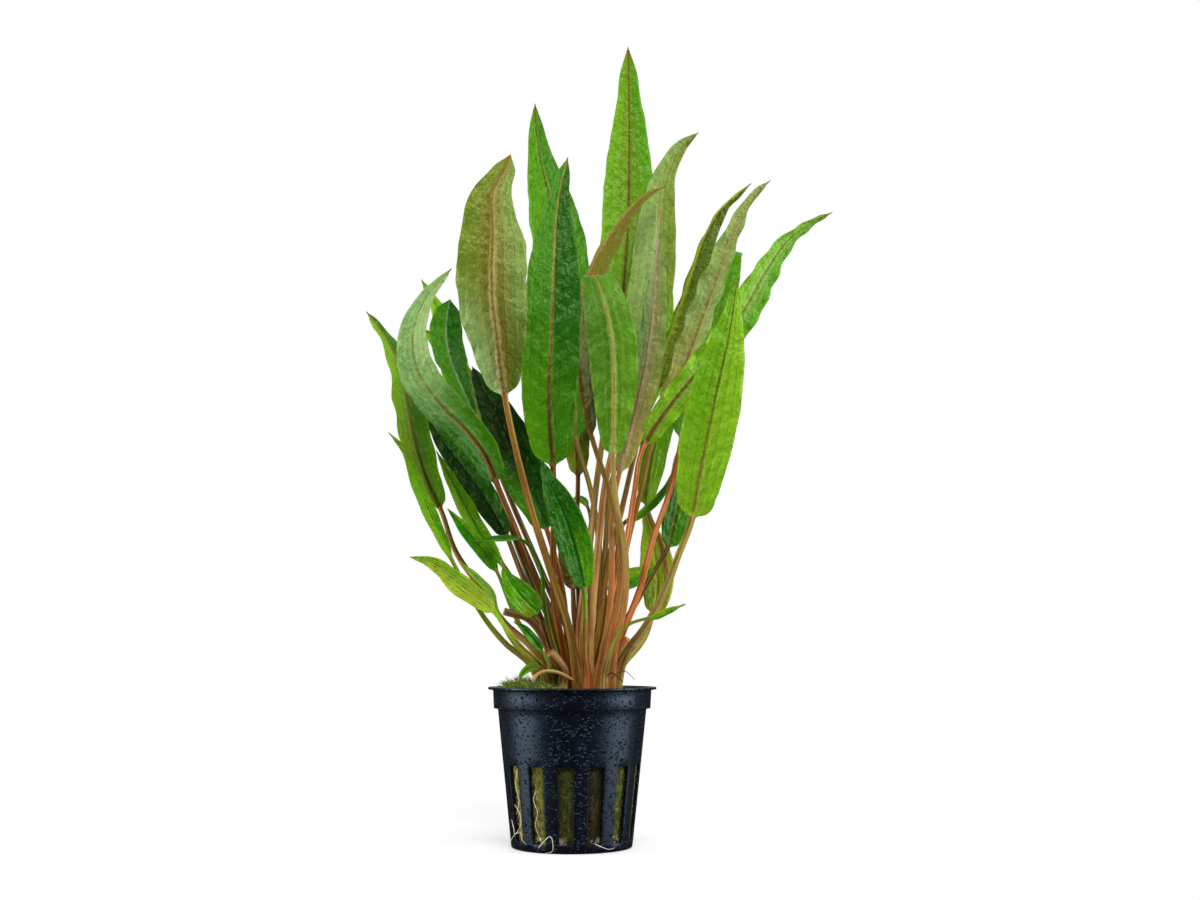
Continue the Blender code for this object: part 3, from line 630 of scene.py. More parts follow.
def leaf_finish(name, look, facing):
    """A leaf's material; facing is 1 where its right margin is on the viewer's right, else -1."""
    made = Finish(name)
    lay = made.vector("lay")
    along = made.value("along")
    across = made.value("across")
    blade = made.value("blade")
    rise = made.value("rise")
    from_rib = made.value("from_rib")
    reach = made.math("ABSOLUTE", across)
    broad = made.noise(made.stretch(lay, (0.16, 0.05, 1.0)), 1.0, 3.0)
    spots = made.noise(made.stretch(lay, (0.55, 0.4, 1.0)), 1.0, 4.0, 0.65)
    fine = made.noise(made.stretch(lay, (1.7, 1.3, 1.0)), 1.0, 2.0, 0.5)
    drift = made.math("MULTIPLY_ADD", broad, 0.5, -0.25)

    side = made.step(made.plus(made.times(across, facing), made.times(drift, 0.3)), -0.1, 0.1)
    place = made.plus(along, made.times(drift, 0.5))
    height_share = made.step(place, look.turn - 0.22, look.turn + 0.22)
    left = made.mix(height_share, *look.left)
    right = made.mix(height_share, *look.right)
    colour = made.mix(side, left, right)
    if look.middle_share:
        band = made.step(made.plus(reach, drift), 0.75, 0.1)
        colour = made.mix(made.times(band, look.middle_share), colour, look.middle)
    darker = made.mix(1.0, colour, (0.55, 0.62, 0.5, 1.0), "MULTIPLY")
    lighter = made.mix(0.3, colour, "lime")
    colour = made.mix(made.times(made.step(spots, 0.5, 0.75), 0.55), colour, darker)
    colour = made.mix(made.times(made.step(spots, 0.5, 0.28), 0.5), colour, lighter)

    veins = made.math("COSINE", made.times(made.plus(reach, made.times(drift, 0.05)), 6 * math.pi))
    veins = made.times(made.step(veins, 0.86, 0.995), made.step(reach, 0.12, 0.2))
    slant = made.math("MULTIPLY_ADD", made.math("ABSOLUTE", from_rib), -0.9, made.value("run"))
    bars = made.math("SINE", made.plus(made.times(slant, 2 * math.pi / 2.7), made.times(spots, 5.0)))
    bars = made.times(made.step(bars, 0.82, 0.99), made.step(reach, 0.04, 0.2))
    lines = made.math("MAXIMUM", veins, made.times(bars, 0.5))
    colour = made.mix(made.times(lines, 0.4), colour, darker)
    edge = made.step(reach, 0.955, 1.0)
    colour = made.mix(made.times(edge, 0.4), colour, "olive_yellow")
    point = made.step(made.plus(along, made.times(drift, 0.04)), 0.955, 0.992)
    colour = made.mix(made.times(point, 0.85), colour, look.tip)

    rib_colour = made.mix(made.step(along, 0.05, look.turn + 0.25), look.rib, look.rib_tip)
    rib_shade = made.mix(1.0, rib_colour, (0.45, 0.4, 0.35, 1.0), "MULTIPLY")
    groove = made.step(made.noise(made.stretch(lay, (2.6, 0.1, 1.0)), 1.0, 2.0), 0.45, 0.65)
    rib_colour = made.mix(made.times(groove, 0.6), rib_colour, rib_shade)
    rib = made.step(made.value("rib"), 0.25, 0.8)
    colour = made.mix(rib, colour, rib_colour)
    stalk, stripes = stalk_colour(made, lay, rise, look.stalk, look.stalk_top)
    colour = made.mix(made.step(blade, 0.1, 0.7), stalk, colour)
    underside = made.mix(0.2, colour, "sage")
    colour = made.mix(made.value("under"), colour, underside)

    wet = made.noise(made.stretch(lay, (0.3, 0.2, 1.0)), 1.0, 2.0)
    roughness = made.math("MULTIPLY_ADD", wet, 0.22, look.gloss - 0.08)
    drop_distance, drop_pick = made.cells(made.stretch(lay, (0.75, 0.75, 1.0)), 1.0)
    drops = made.times(made.step(drop_distance, 0.22, 0.12), made.step(drop_pick, 0.62, 0.66))
    height = made.plus(made.times(lines, -0.45), made.times(fine, 0.4))
    height = made.plus(height, made.times(stripes, made.math("SUBTRACT", 1.0, blade)))
    lumps = made.noise(made.stretch(lay, (0.5, 0.38, 1.0)), 1.0, 2.0)
    normal = made.bump(made.times(lumps, blade), 0.9)
    normal = made.bump(height, 0.16, normal)
    normal = made.bump(drops, 0.16, normal)
    return made.finish(
        colour, roughness, normal,
        Subsurface_Weight=0.12, Subsurface_Radius=(0.5, 1.0, 0.2), Subsurface_Scale=0.001,
        Specular_IOR_Level=0.32, Specular_Tint=(0.85, 1.0, 0.5, 1.0),
    )


# Leaves


def blade_shares(count):
    """Places along a blade from 0, closer together near its two ends, without the tip."""
    shares = np.linspace(0.0, 1.0, count + 1)[1:-1]
    return shares - 0.55 * np.sin(2 * np.pi * shares) / (2 * np.pi)


def leaf_piece(name, look):
    """A leaf and its stalk, swept finely through the rings of its solid."""
    rings, tip = section_rings(name)
    seed = int(name[-2:])
    top = rings[:, 1]
    bottom = rings[:, 4]
    spine = np.vstack([(top + bottom) / 2, tip])
    ups = unit(top - bottom)
    acrosses = unit(rings[:, 0] - rings[:, 2])
    halves = np.linalg.norm(rings[:, 0] - rings[:, 2], axis=1) / 2
    margins = (rings[:, 0] + rings[:, 2]) / 2
    lifts = np.einsum("ij,ij->i", margins - top, ups)
    knots = np.concatenate([[0.0], np.cumsum(np.linalg.norm(np.diff(spine, axis=0), axis=1))])
    collar = knots[STALK_RINGS]
    length = knots[-1]

    stalk_count = max(8, int(collar / STALK_STEP))
    blade_count = int((length - collar) / BLADE_STEP)
    blade_count = min(max(blade_count, LEAST_BLADE_RINGS), MOST_BLADE_RINGS)
    share = blade_shares(blade_count)
    run = np.concatenate([
        np.linspace(0.0, collar, stalk_count, endpoint=False), [collar],
        collar + (length - collar) * share,
    ])
    along = np.clip((run - collar) / (length - collar), 0.0, 1.0)
    rise = np.clip(run / collar, 0.0, 1.0)

    centres = smooth(knots, spine, run)
    forward = unit(np.gradient(centres, run, axis=0))
    forward[0] = (0.0, 0.0, 1.0)
    across = smooth(knots, np.vstack([acrosses, acrosses[-1]]), run)
    across = unit(across - forward * np.einsum("ij,ij->i", across, forward)[:, None])
    up = np.cross(across, forward)
    if np.einsum("ij,ij->i", up, smooth(knots, np.vstack([ups, ups[-1]]), run)).mean() < 0:
        up = -up
    half = smooth(knots, np.append(halves, 0.05), run, bounded=True)
    lift = smooth(knots, np.append(lifts, 0.0), run, bounded=True)
    facing = 1.0 if across[len(run) // 2][0] > 0 else -1.0
    half = half * (1 + look.fuller * ease(0.35, 0.75, along) + 0.55 * np.exp(-((along - 0.95) / 0.05) ** 2))
    swing = look.bulge * facing * np.exp(-((along - 0.8) / 0.11) ** 2)
    centres = centres + across * swing[:, None]
    collar_rib = halves[STALK_RINGS]
    stalk_radius = smooth(knots[: STALK_RINGS + 1], halves[: STALK_RINGS + 1],
                          np.minimum(run, collar), bounded=True)
    rib = np.where(run < collar, stalk_radius,
                   collar_rib + (RIB_TIP_RADIUS - collar_rib) * along**0.7)
    rib = np.minimum(rib, half * 0.9 + 0.02)
    blade = np.clip((half - rib) / (2.0 * rib), 0.0, 1.0)

    sheath = 1 - ease(0.0, 16.0, run)
    twist = np.radians(5.0) * wander(run / 26.0, seed) * along
    across, up = (
        across * np.cos(twist)[:, None] + up * np.sin(twist)[:, None],
        up * np.cos(twist)[:, None] - across * np.sin(twist)[:, None],
    )

    columns = np.linspace(-1.0, 1.0, 2 * SIDE_COLUMNS - 1)
    place = np.sign(columns) * np.abs(columns) ** 1.45
    wave = np.zeros((len(run), len(columns)))
    outline = np.ones_like(wave)
    envelope = np.sqrt(np.clip(np.sin(np.pi * along), 0.0, 1.0))
    for sign, side_seed in ((-1, seed + 50), (1, seed + 90)):
        on_side = (np.sign(columns) == sign)[None, :]
        beat = 2 * np.pi * run / (9.5 + side_seed % 5) + side_seed + 2.2 * wander(run / 17.0, side_seed)
        swing = np.sin(beat) * (0.65 + 0.5 * wander(run / 23.0, side_seed + 7))
        swell = 0.07 * wander(run / 8.0, side_seed + 3) + 0.035 * wander(run / 2.6, side_seed + 5)
        wave += on_side * (swing * envelope * look.ripple * 1.5)[:, None] * np.abs(place)[None, :] ** 1.8
        outline += on_side * (swell * envelope)[:, None] * np.abs(place)[None, :]
    quilt = np.sin(3 * np.pi * np.abs(place)) ** 2
    slant = run[:, None] - 0.9 * np.abs(place)[None, :] * half[:, None]
    folds = np.sin(2 * np.pi * slant / 5.4 + seed) * quilt[None, :]
    broad = np.outer(wander(run / 13.0, seed + 11), np.ones_like(columns)) * (1 - quilt)[None, :]
    wave += look.puckers * envelope[:, None] * (0.2 * folds + 0.18 * quilt[None, :] + 0.25 * broad)

    angle = np.radians(82.0) * columns
    flat = 1.0 + 0.55 * sheath[:, None]
    stalk_x = rib[:, None] * np.sin(angle)[None, :] * flat
    groove = 0.3 * np.exp(-((columns / 0.34) ** 2))[None, :] * (1 - 0.7 * sheath)[:, None]
    fluting = 0.1 * np.sin(4 * angle + seed)[None, :]
    stalk_top = rib[:, None] * (0.9 * np.cos(angle)[None, :] - groove + fluting)
    stalk_low = -rib[:, None] * (0.9 * np.cos(angle)[None, :] + fluting)

    blade_x = place[None, :] * half[:, None] * outline
    bend = 1.3 - 0.15 * np.clip(lift / np.maximum(half, 0.1), 0.0, 1.0)
    raised = lift[:, None] * np.abs(place)[None, :] ** bend[:, None]
    dip = 0.35 * rib[:, None] * np.exp(-((blade_x / (0.8 * rib[:, None])) ** 2))
    base = 0.3 * rib[:, None]
    blade_top = base + raised - dip
    thickness = MARGIN_THICKNESS + (LAMINA_THICKNESS - MARGIN_THICKNESS) * (1 - np.abs(place)) ** 0.5
    swelling = 1.25 * rib[:, None] * np.exp(-((blade_x / (1.0 * rib[:, None])) ** 2))
    blade_low = base + raised - thickness[None, :] - swelling

    b = blade[:, None]
    x = stalk_x * (1 - b) + blade_x * b
    y_top = stalk_top * (1 - b) + (blade_top + wave) * b
    y_low = stalk_low * (1 - b) + (blade_low + wave) * b
    x_ring = np.hstack([x, x[:, ::-1]])
    y_ring = np.hstack([y_top, y_low[:, ::-1]])
    points = (
        centres[:, None] + across[:, None] * x_ring[..., None] + up[:, None] * y_ring[..., None]
    )
    around = x_ring.shape[1]
    points = np.vstack([points.reshape(-1, 3), tip])

    def on_points(rows, at_tip):
        return np.append(np.broadcast_to(rows, x_ring.shape).ravel(), at_tip)

    ring_columns = np.concatenate([place, place[::-1]])
    under = np.concatenate([np.zeros(len(columns)), np.ones(len(columns))])
    rib_mask = np.exp(-((x_ring / (1.15 * rib[:, None])) ** 2))
    across_all = on_points(ring_columns[None, :], 0.0)
    run_all = on_points(run[:, None], length)
    from_rib = on_points(x_ring, 0.0)
    attributes = {
        "along": on_points(along[:, None], 1.0),
        "across": across_all,
        "blade": on_points(b, 1.0),
        "rise": on_points(rise[:, None], 1.0),
        "under": on_points(under[None, :], 0.0),
        "rib": on_points(rib_mask, 0.0),
        "run": run_all,
        "from_rib": from_rib,
        "lay": np.column_stack([from_rib, run_all, np.full(len(points), seed * 17.0)]),
    }
    faces = tube_faces(len(run), around)
    faces = [face[::-1] for face in faces]
    finish = leaf_finish(name + "_finish", look, facing)
    return new_piece(name + "_skin", points, faces, finish, attributes, (name,))


# Stalks that are cut off, and the runner


def tube_piece(name, finish, end_widths=(1.0, 1.0), start=None):
    """A cut stalk or a runner, swept finely through the rings of its solid."""
    rings, _ = section_rings(name, start)
    seed = sum(map(ord, name)) % 97
    spine = (rings[:, 1] * 1.0 + rings[:, 4]) / 2
    acrosses = unit(rings[:, 0] - rings[:, 2])
    radius = 0.92 * np.linalg.norm(rings[:, 0] - rings[:, 2], axis=1).mean() / 2
    knots = np.concatenate([[0.0], np.cumsum(np.linalg.norm(np.diff(spine, axis=0), axis=1))])
    run = np.linspace(0.0, knots[-1], max(24, int(knots[-1] / 0.7)))
    centres = smooth(knots, spine, run)
    forward = unit(np.gradient(centres, run, axis=0))
    if np.ptp(rings[0, :, 2]) < 0.02:
        forward[0] = (0.0, 0.0, 1.0)
    across = smooth(knots, acrosses, run)
    across = unit(across - forward * np.einsum("ij,ij->i", across, forward)[:, None])
    up = np.cross(across, forward)
    angles = 2 * np.pi * np.arange(TUBE_SIDES) / TUBE_SIDES
    width = np.interp(run / run[-1], (0, 0.15, 0.85, 1), (end_widths[0], 1, 1, end_widths[1]))
    width = radius * width * (1 + 0.06 * wander(run / 4.0, seed))
    ribs = 1 + 0.04 * np.sin(5 * angles + seed)[None, :]
    sway = 0.12 * radius * np.column_stack([wander(run / 6.0, seed + 4), wander(run / 6.0, seed + 8)])
    x = width[:, None] * np.cos(angles)[None, :] * ribs + sway[:, :1]
    y = 0.86 * width[:, None] * np.sin(angles)[None, :] * ribs + sway[:, 1:]
    points = centres[:, None] + across[:, None] * x[..., None] + up[:, None] * y[..., None]
    last = points[-1]
    middle = last.mean(axis=0)
    hollow = [last + (middle - last) * share - forward[-1] * 0.25 * share for share in (0.35, 0.9)]
    points = np.concatenate([points, hollow])
    count = len(points)
    rows = np.concatenate([run, np.full(2, run[-1])])
    cut = np.repeat(np.concatenate([np.zeros(len(run)), [0.9, 1.0]]), TUBE_SIDES)
    lay = np.column_stack([
        np.tile(angles * radius, count), np.repeat(rows, TUBE_SIDES),
        np.full(count * TUBE_SIDES, seed * 3.0),
    ])
    attributes = {
        "lay": lay,
        "rise": np.repeat(rows / run[-1], TUBE_SIDES),
        "cut": cut,
    }
    faces = tube_faces(count, TUBE_SIDES, tip=False)
    return new_piece(name + "_skin", points.reshape(-1, 3), faces, finish, attributes, (name,))


def cut_stalk_finish(name, low, high, end):
    made = Finish(name)
    lay = made.vector("lay")
    colour, stripes = stalk_colour(made, lay, made.value("rise"), low, high)
    rings = made.noise(made.stretch(lay, (2.0, 6.0, 1.0)), 1.0, 3.0)
    colour = made.mix(made.times(made.step(rings, 0.5, 0.7), 0.25), colour, "brown")
    colour = made.mix(made.value("cut"), colour, end)
    return made.finish(colour, 0.38, made.bump(stripes, 0.2), Subsurface_Weight=0.1,
                       Subsurface_Radius=(1.0, 0.6, 0.3), Subsurface_Scale=0.001)


def runner_finish():
    made = Finish("runner_skin")
    lay = made.vector("lay")
    rise = made.value("rise")
    spots = made.noise(made.stretch(lay, (1.2, 0.6, 1.0)), 1.0, 3.0)
    lines = made.noise(made.stretch(lay, (3.0, 0.15, 1.0)), 1.0, 2.0)
    colour = made.mix(made.step(rise, 0.75, 0.92), "straw", "root_pink")
    colour = made.mix(made.times(made.step(rise, 0.5, 0.0), 0.45), colour, "red_brown")
    colour = made.mix(made.times(made.step(spots, 0.5, 0.72), 0.3), colour, "tan")
    return made.finish(colour, 0.4, made.bump(lines, 0.15), Subsurface_Weight=0.3,
                       Subsurface_Radius=(1.0, 0.6, 0.4), Subsurface_Scale=0.001)


# Pot


def wall_radius(height):
    """Outer radius of the pot's tapered wall."""
    return BASE_RADIUS + (STEP_RADIUS - BASE_RADIUS) * height / (POT_HEIGHT - BAND_DEPTH)


def pot_profile():
    """Matching (radius, height) pairs down the pot's outside and inside, from hub to lip.

    It also gives the numbers of the stations that each have a slot above them.
    """
    step = POT_HEIGHT - BAND_DEPTH
    under_lip = POT_HEIGHT - LIP_THICKNESS
    slot_heights = list(np.linspace(SLOT_BOTTOM, SLOT_TOP, 9))
    wall_heights = list(np.linspace(SLOT_TOP, step, 7))[1:-1]
    floor_radii = list(np.linspace(FLOOR_HUB_RADIUS, FLOOR_SLOT_END, 4))
    outside = [(radius, 0.0) for radius in floor_radii]
    inside = [(radius, FLOOR) for radius in floor_radii]
    outside.append((BASE_RADIUS - 0.25, 0.0))
    inside.append((wall_radius(FLOOR) - WALL - 0.25, FLOOR))
    outside.append((BASE_RADIUS, 0.25))
    inside.append((wall_radius(FLOOR) - WALL, FLOOR + 0.25))
    first_slot = len(outside)
    for height in slot_heights + wall_heights:
        outside.append((wall_radius(height), height))
        inside.append((wall_radius(height) - WALL, height))
    outside += [
        (STEP_RADIUS, step), (BAND_RADIUS - BAND_DRAFT, step),
        (BAND_RADIUS - BAND_DRAFT / 2, (step + under_lip) / 2), (BAND_RADIUS, under_lip),
        (LIP_RADIUS, under_lip + LIP_SLOPE), (LIP_RADIUS, POT_HEIGHT),
    ]
    inside += [
        (STEP_RADIUS - WALL, step - STEP_SOFTENING),
        (BAND_RADIUS - BAND_DRAFT - WALL, step + STEP_SOFTENING),
        (BAND_RADIUS - BAND_DRAFT / 2 - WALL, (step + under_lip) / 2),
        (BAND_RADIUS - WALL, under_lip),
        (BAND_RADIUS - WALL, under_lip + LIP_THICKNESS / 2),
        (BAND_RADIUS - WALL, POT_HEIGHT),
    ]
    slotted = set(range(3)) | set(range(first_slot, first_slot + len(slot_heights) - 1))
    return outside, inside, slotted


def column_angle(column):
    """Degrees from the front towards +X of a fine column's left edge."""
    return FIRST_SLOT_DEGREES + 180.0 / (2 * SLOTS) + 360.0 * column / (2 * SLOTS * COLUMN_PARTS)


def pot_piece():
    outside, inside, slotted = pot_profile()
    columns = 2 * SLOTS * COLUMN_PARTS
    angles = np.radians([column_angle(i) for i in range(columns)])
    way = np.column_stack([np.sin(angles), -np.cos(angles)])
    shell = []
    for profile in (outside, inside):
        for radius, height in profile:
            uneven = 0.08 * np.sin(2 * angles + 0.7) * height / POT_HEIGHT
            shell.append(np.column_stack([way * (radius + uneven)[:, None], np.full(columns, height)]))
    points = np.vstack([*shell, [(0, 0, 0)], [(0, 0, FLOOR)]])
    stations = len(outside)

    def at(side, k, i):
        return (side * stations + k) * columns + i % columns

    def is_open(k, i):
        return k in slotted and (i // COLUMN_PARTS) % 2 == 1

    faces = []
    for k in range(stations - 1):
        for i in range(columns):
            if is_open(k, i):
                continue
            faces.append((at(0, k, i), at(0, k, i + 1), at(0, k + 1, i + 1), at(0, k + 1, i)))
            faces.append((at(1, k, i), at(1, k + 1, i), at(1, k + 1, i + 1), at(1, k, i + 1)))
    for k in slotted:
        for i in range(columns):
            if not is_open(k, i):
                continue
            if not is_open(k - 1, i):
                faces.append((at(0, k, i), at(0, k, i + 1), at(1, k, i + 1), at(1, k, i)))
            if not is_open(k + 1, i):
                faces.append((at(0, k + 1, i), at(1, k + 1, i), at(1, k + 1, i + 1), at(0, k + 1, i + 1)))
            if not is_open(k, i - 1):
                faces.append((at(0, k, i), at(1, k, i), at(1, k + 1, i), at(0, k + 1, i)))
            if not is_open(k, i + 1):
                faces.append((at(0, k, i + 1), at(0, k + 1, i + 1), at(1, k + 1, i + 1), at(1, k, i + 1)))
    top = stations - 1
    under = len(points) - 2
    for i in range(columns):
        faces.append((at(0, top, i), at(0, top, i + 1), at(1, top, i + 1), at(1, top, i)))
        faces.append((under, at(0, 0, i + 1), at(0, 0, i)))
        faces.append((under + 1, at(1, 0, i), at(1, 0, i + 1)))
    pot = new_piece("pot_shell", points, faces, pot_finish(), replaces=("pot",))
    bevel = pot.modifiers.new("soft edges", "BEVEL")
    bevel.width = POT_BEVEL * MM
    bevel.segments = 2
    bevel.limit_method = "ANGLE"
    bevel.angle_limit = math.radians(50)
    bevel.harden_normals = False


def pot_finish():
    """Black plastic, with small beads all over that catch the light."""
    made = Finish("pot_plastic")
    place = made.place()
    wet = made.noise(place, 0.09, 2.0)
    fine = made.noise(place, 2.2, 3.0, 0.6)
    crowd = made.noise(place, 0.14, 2.0)
    small_distance, small_pick = made.cells(place, 1.25)
    large_distance, large_pick = made.cells(place, 0.75)
    few = made.math("MULTIPLY_ADD", crowd, -0.9, 0.9)
    small = made.times(made.step(small_distance, 0.42, 0.12),
                       made.math("GREATER_THAN", small_pick, few))
    large = made.times(made.step(large_distance, 0.4, 0.12),
                       made.math("GREATER_THAN", large_pick, made.plus(few, 0.12)))
    beads = made.math("MAXIMUM", small, made.times(large, 1.6))
    normal = made.bump(fine, 0.03)
    normal = made.bump(beads, 0.22, normal)
    colour = made.mix(made.step(made.noise(place, 0.35, 4.0), 0.45, 0.75), "pot_black", "pot_grey")
    roughness = made.math("MULTIPLY_ADD", wet, 0.2, 0.26)
    roughness = made.math("MULTIPLY_ADD", beads, -0.1, roughness)
    return made.finish(colour, roughness, normal, Specular_IOR_Level=0.55,
                       Specular_Tint=(0.5, 0.72, 1.0, 1.0))


# What the pot holds


SLOT_TONES = {
    # slot: (lightness, greenness), counted from the front one, those on the left below zero
    # Lightness is painted light and shade over the wool's own tone: high where a slot's plug catches the light, low
    # where it sits back in shade.
    -3: (0.95, 0.3), -2: (1.0, 0.25), -1: (0.85, 0.3), 0: (0.13, 0.3), 1: (0.03, 0.0),
    2: (0.2, 0.9), 3: (0.8, 0.4),
}


def slot_place(x, y):
    """A slot's number for points of the pot, with fractions between slots."""
    degrees = np.degrees(np.arctan2(x, -y)) - FIRST_SLOT_DEGREES
    return degrees * SLOTS / 360.0


def slot_tones(x, y):
    """Lightness, which is painted light and shade, and greenness of the rockwool at points."""
    place = slot_place(x, y)
    nearest = np.round(place).astype(int)
    tones = np.array([
        SLOT_TONES.get(n, (0.55 + 0.3 * math.sin(2.1 * n), 0.4 + 0.3 * math.cos(1.7 * n)))
        for n in nearest
    ])
    return tones[:, 0], tones[:, 1], np.abs(place - nearest)


def rockwool_radius(height):
    """Outer radius of the plug, which leaves a gap to the pot's wall."""
    step = POT_HEIGHT - BAND_DEPTH
    if height > step + STEP_SOFTENING:
        return BAND_RADIUS - BAND_DRAFT - WALL - GAP
    return wall_radius(height) - WALL - GAP


def rockwool_piece():
    """A matted plug that swells a little into the slots, with a mouth for the rootstock."""
    columns = 308
    heights = np.concatenate([np.linspace(FLOOR + GAP, SLOT_TOP + 3, 60), np.linspace(29, ROCKWOOL_TOP, 14)])
    angles = 2 * np.pi * np.arange(columns) / columns
    way = np.column_stack([np.sin(angles), -np.cos(angles)])
    place = slot_place(way[:, 0], way[:, 1])
    in_slot = 1 - ease(0.12, 0.24, np.abs(place - np.round(place)))
    rows = []
    for height in heights:
        radius = rockwool_radius(height)
        swell = 0.55 * in_slot * ease(SLOT_BOTTOM, SLOT_BOTTOM + 1.5, height) * (
            1 - ease(SLOT_TOP - 1.5, SLOT_TOP, height))
        rough = np.array([
            noise.noise(Vector((w[0] * 9, w[1] * 9, height * 0.42)))
            + 0.6 * noise.noise(Vector((w[0] * 30, w[1] * 30, height * 1.3)))
            for w in way
        ])
        out = radius + swell + (0.05 + 0.3 * in_slot) * (rough - 0.5)
        rows.append(np.column_stack([way * out[:, None], np.full(columns, height)]))
    mouth = np.array(ROOTSTOCK_RADII) + GAP
    for share in (0.35, 0.75, 1.0):
        edge = np.column_stack([
            ROOTSTOCK_CENTRE_X + mouth[0] * way[:, 0], mouth[1] * way[:, 1],
            np.full(columns, ROCKWOOL_TOP),
        ])
        ring = rows[len(heights) - 1] * (1 - share) + edge * share
        ring[:, 2] = ROCKWOOL_TOP + 0.5 * np.array([
            noise.noise(Vector((p[0] * 0.6, p[1] * 0.6, 3.0))) for p in ring])
        rows.append(ring)
    deep = rows[-1].copy()
    deep[:, 2] = ROCKWOOL_TOP - 5.5
    rows.append(deep)
    points = np.vstack(rows)
    # light carries each slot's painted light and shade.
    light, green, _ = slot_tones(points[:, 0], points[:, 1])
    height = points[:, 2]
    light = np.where(height > SLOT_TOP + 3, 0.5, light)
    faces = tube_faces(len(rows), columns, tip=False)
    attributes = {"light": light, "green": green}
    return new_piece("rockwool_plug", points, faces, rockwool_finish(), attributes,
                     ("rockwool",))


def rockwool_finish():
    made = Finish("rockwool_mat")
    place = made.place()
    light = made.value("light")
    green = made.value("green")
    broad = made.noise(place, 0.35, 4.0, 0.65)
    threads = made.noise(made.stretch(place, (1.0, 1.0, 0.6)), 1.2, 4.0, 0.75)
    dirt = made.noise(made.stretch(place, (1.0, 1.0, 0.7)), 0.42, 5.0, 0.75)
    tufts = made.noise(place, 0.9, 4.0, 0.75)
    # Painted light and shade: the plug is very dark in shaded slots and olive in lit ones.
    colour = made.mix(light, "wool_shade", "wool_olive")
    growth = made.times(green, made.step(broad, 0.42, 0.56))
    colour = made.mix(growth, colour, "algae")
    colour = made.mix(made.times(made.step(dirt, 0.49, 0.58), 0.85), colour, "wool_brown")
    # Pale tufts show more in lit slots, painted light.
    pale = made.times(made.step(tufts, 0.55, 0.68), made.math("MULTIPLY_ADD", light, 0.75, 0.12))
    colour = made.mix(pale, colour, "wool_pale")
    # Painted shade: darker in the hollows between threads, where the relief is low.
    dark = made.mix(1.0, colour, (0.25, 0.24, 0.2, 1.0), "MULTIPLY")
    colour = made.mix(made.times(made.step(threads, 0.5, 0.4), 0.9), colour, dark)
    foot = made.step(place_height(made, place), 5.0, 3.4)
    white = made.times(foot, made.step(made.noise(place, 0.5, 2.0), 0.5, 0.58))
    colour = made.mix(made.times(white, 0.75), colour, "root_white")
    relief = made.plus(threads, made.times(dirt, -0.8))
    return made.finish(colour, 0.85, made.bump(relief, 0.9), Specular_IOR_Level=0.3)


def place_height(made, place):
    node = made.tree.nodes.new("ShaderNodeSeparateXYZ")
    made.put(node.inputs[0], place)
    return node.outputs["Z"]


def rockwool_fibres(random):
    """Short threads that lie over the plug in its slots."""
    count = 1500
    steps = 6
    slots = random.integers(0, SLOTS, count)
    degrees = FIRST_SLOT_DEGREES + slots * 360.0 / SLOTS + random.uniform(-5.2, 5.2, count)
    height = random.uniform(SLOT_BOTTOM + 0.4, SLOT_TOP - 0.6, count)
    way = random.uniform(0, 2 * np.pi, count)
    length = random.uniform(1.0, 3.4, count)
    bend = random.uniform(-1.6, 1.6, count)
    share = np.linspace(-0.5, 0.5, steps)
    turn = way[:, None] + bend[:, None] * share[None, :] * 2
    side = np.cumsum(np.cos(turn), axis=1) * (length / steps)[:, None]
    rise = np.cumsum(np.sin(turn), axis=1) * (length / steps)[:, None]
    radius = np.array([rockwool_radius(h) for h in height]) + 0.42
    angle = np.radians(degrees)[:, None] + np.clip(side / radius[:, None], -0.09, 0.09)
    out = radius[:, None] + 0.22 * np.sin(turn * 1.7) * np.abs(bend)[:, None] * 0.5
    level = np.clip(height[:, None] + rise, SLOT_BOTTOM + 0.1, SLOT_TOP - 0.1)
    paths = np.stack([out * np.sin(angle), -out * np.cos(angle), level], axis=-1)
    radii = np.broadcast_to(random.uniform(0.035, 0.085, count)[:, None], (count, steps))
    points, faces = strand_mesh(paths, radii)
    light, green, _ = slot_tones(points[:, 0], points[:, 1])
    pick = np.repeat(random.uniform(0, 1, count), steps * 3)
    made = Finish("rockwool_threads")
    pale = made.mix(made.value("pick"), "wool_olive", "wool_pale")
    # Painted light and shade: threads are very dark in shaded slots and pale in lit ones.
    dark = made.mix(made.value("pick"), "wool_shade", "wool_brown")
    colour = made.mix(made.value("light"), dark, pale)
    tufts = made.step(made.value("pick"), 0.6, 0.9)
    colour = made.mix(made.times(made.value("green"), tufts), colour, "algae")
    blur = made.noise(made.place(), 0.7, 3.0)
    colour = made.mix(made.times(made.step(blur, 0.5, 0.7), 0.5), colour, "wool_brown")
    finish = made.finish(colour, 0.8, Specular_IOR_Level=0.3)
    attributes = {"light": light, "green": green, "pick": pick}
    new_piece("rockwool_fibres", points, faces, finish, attributes)


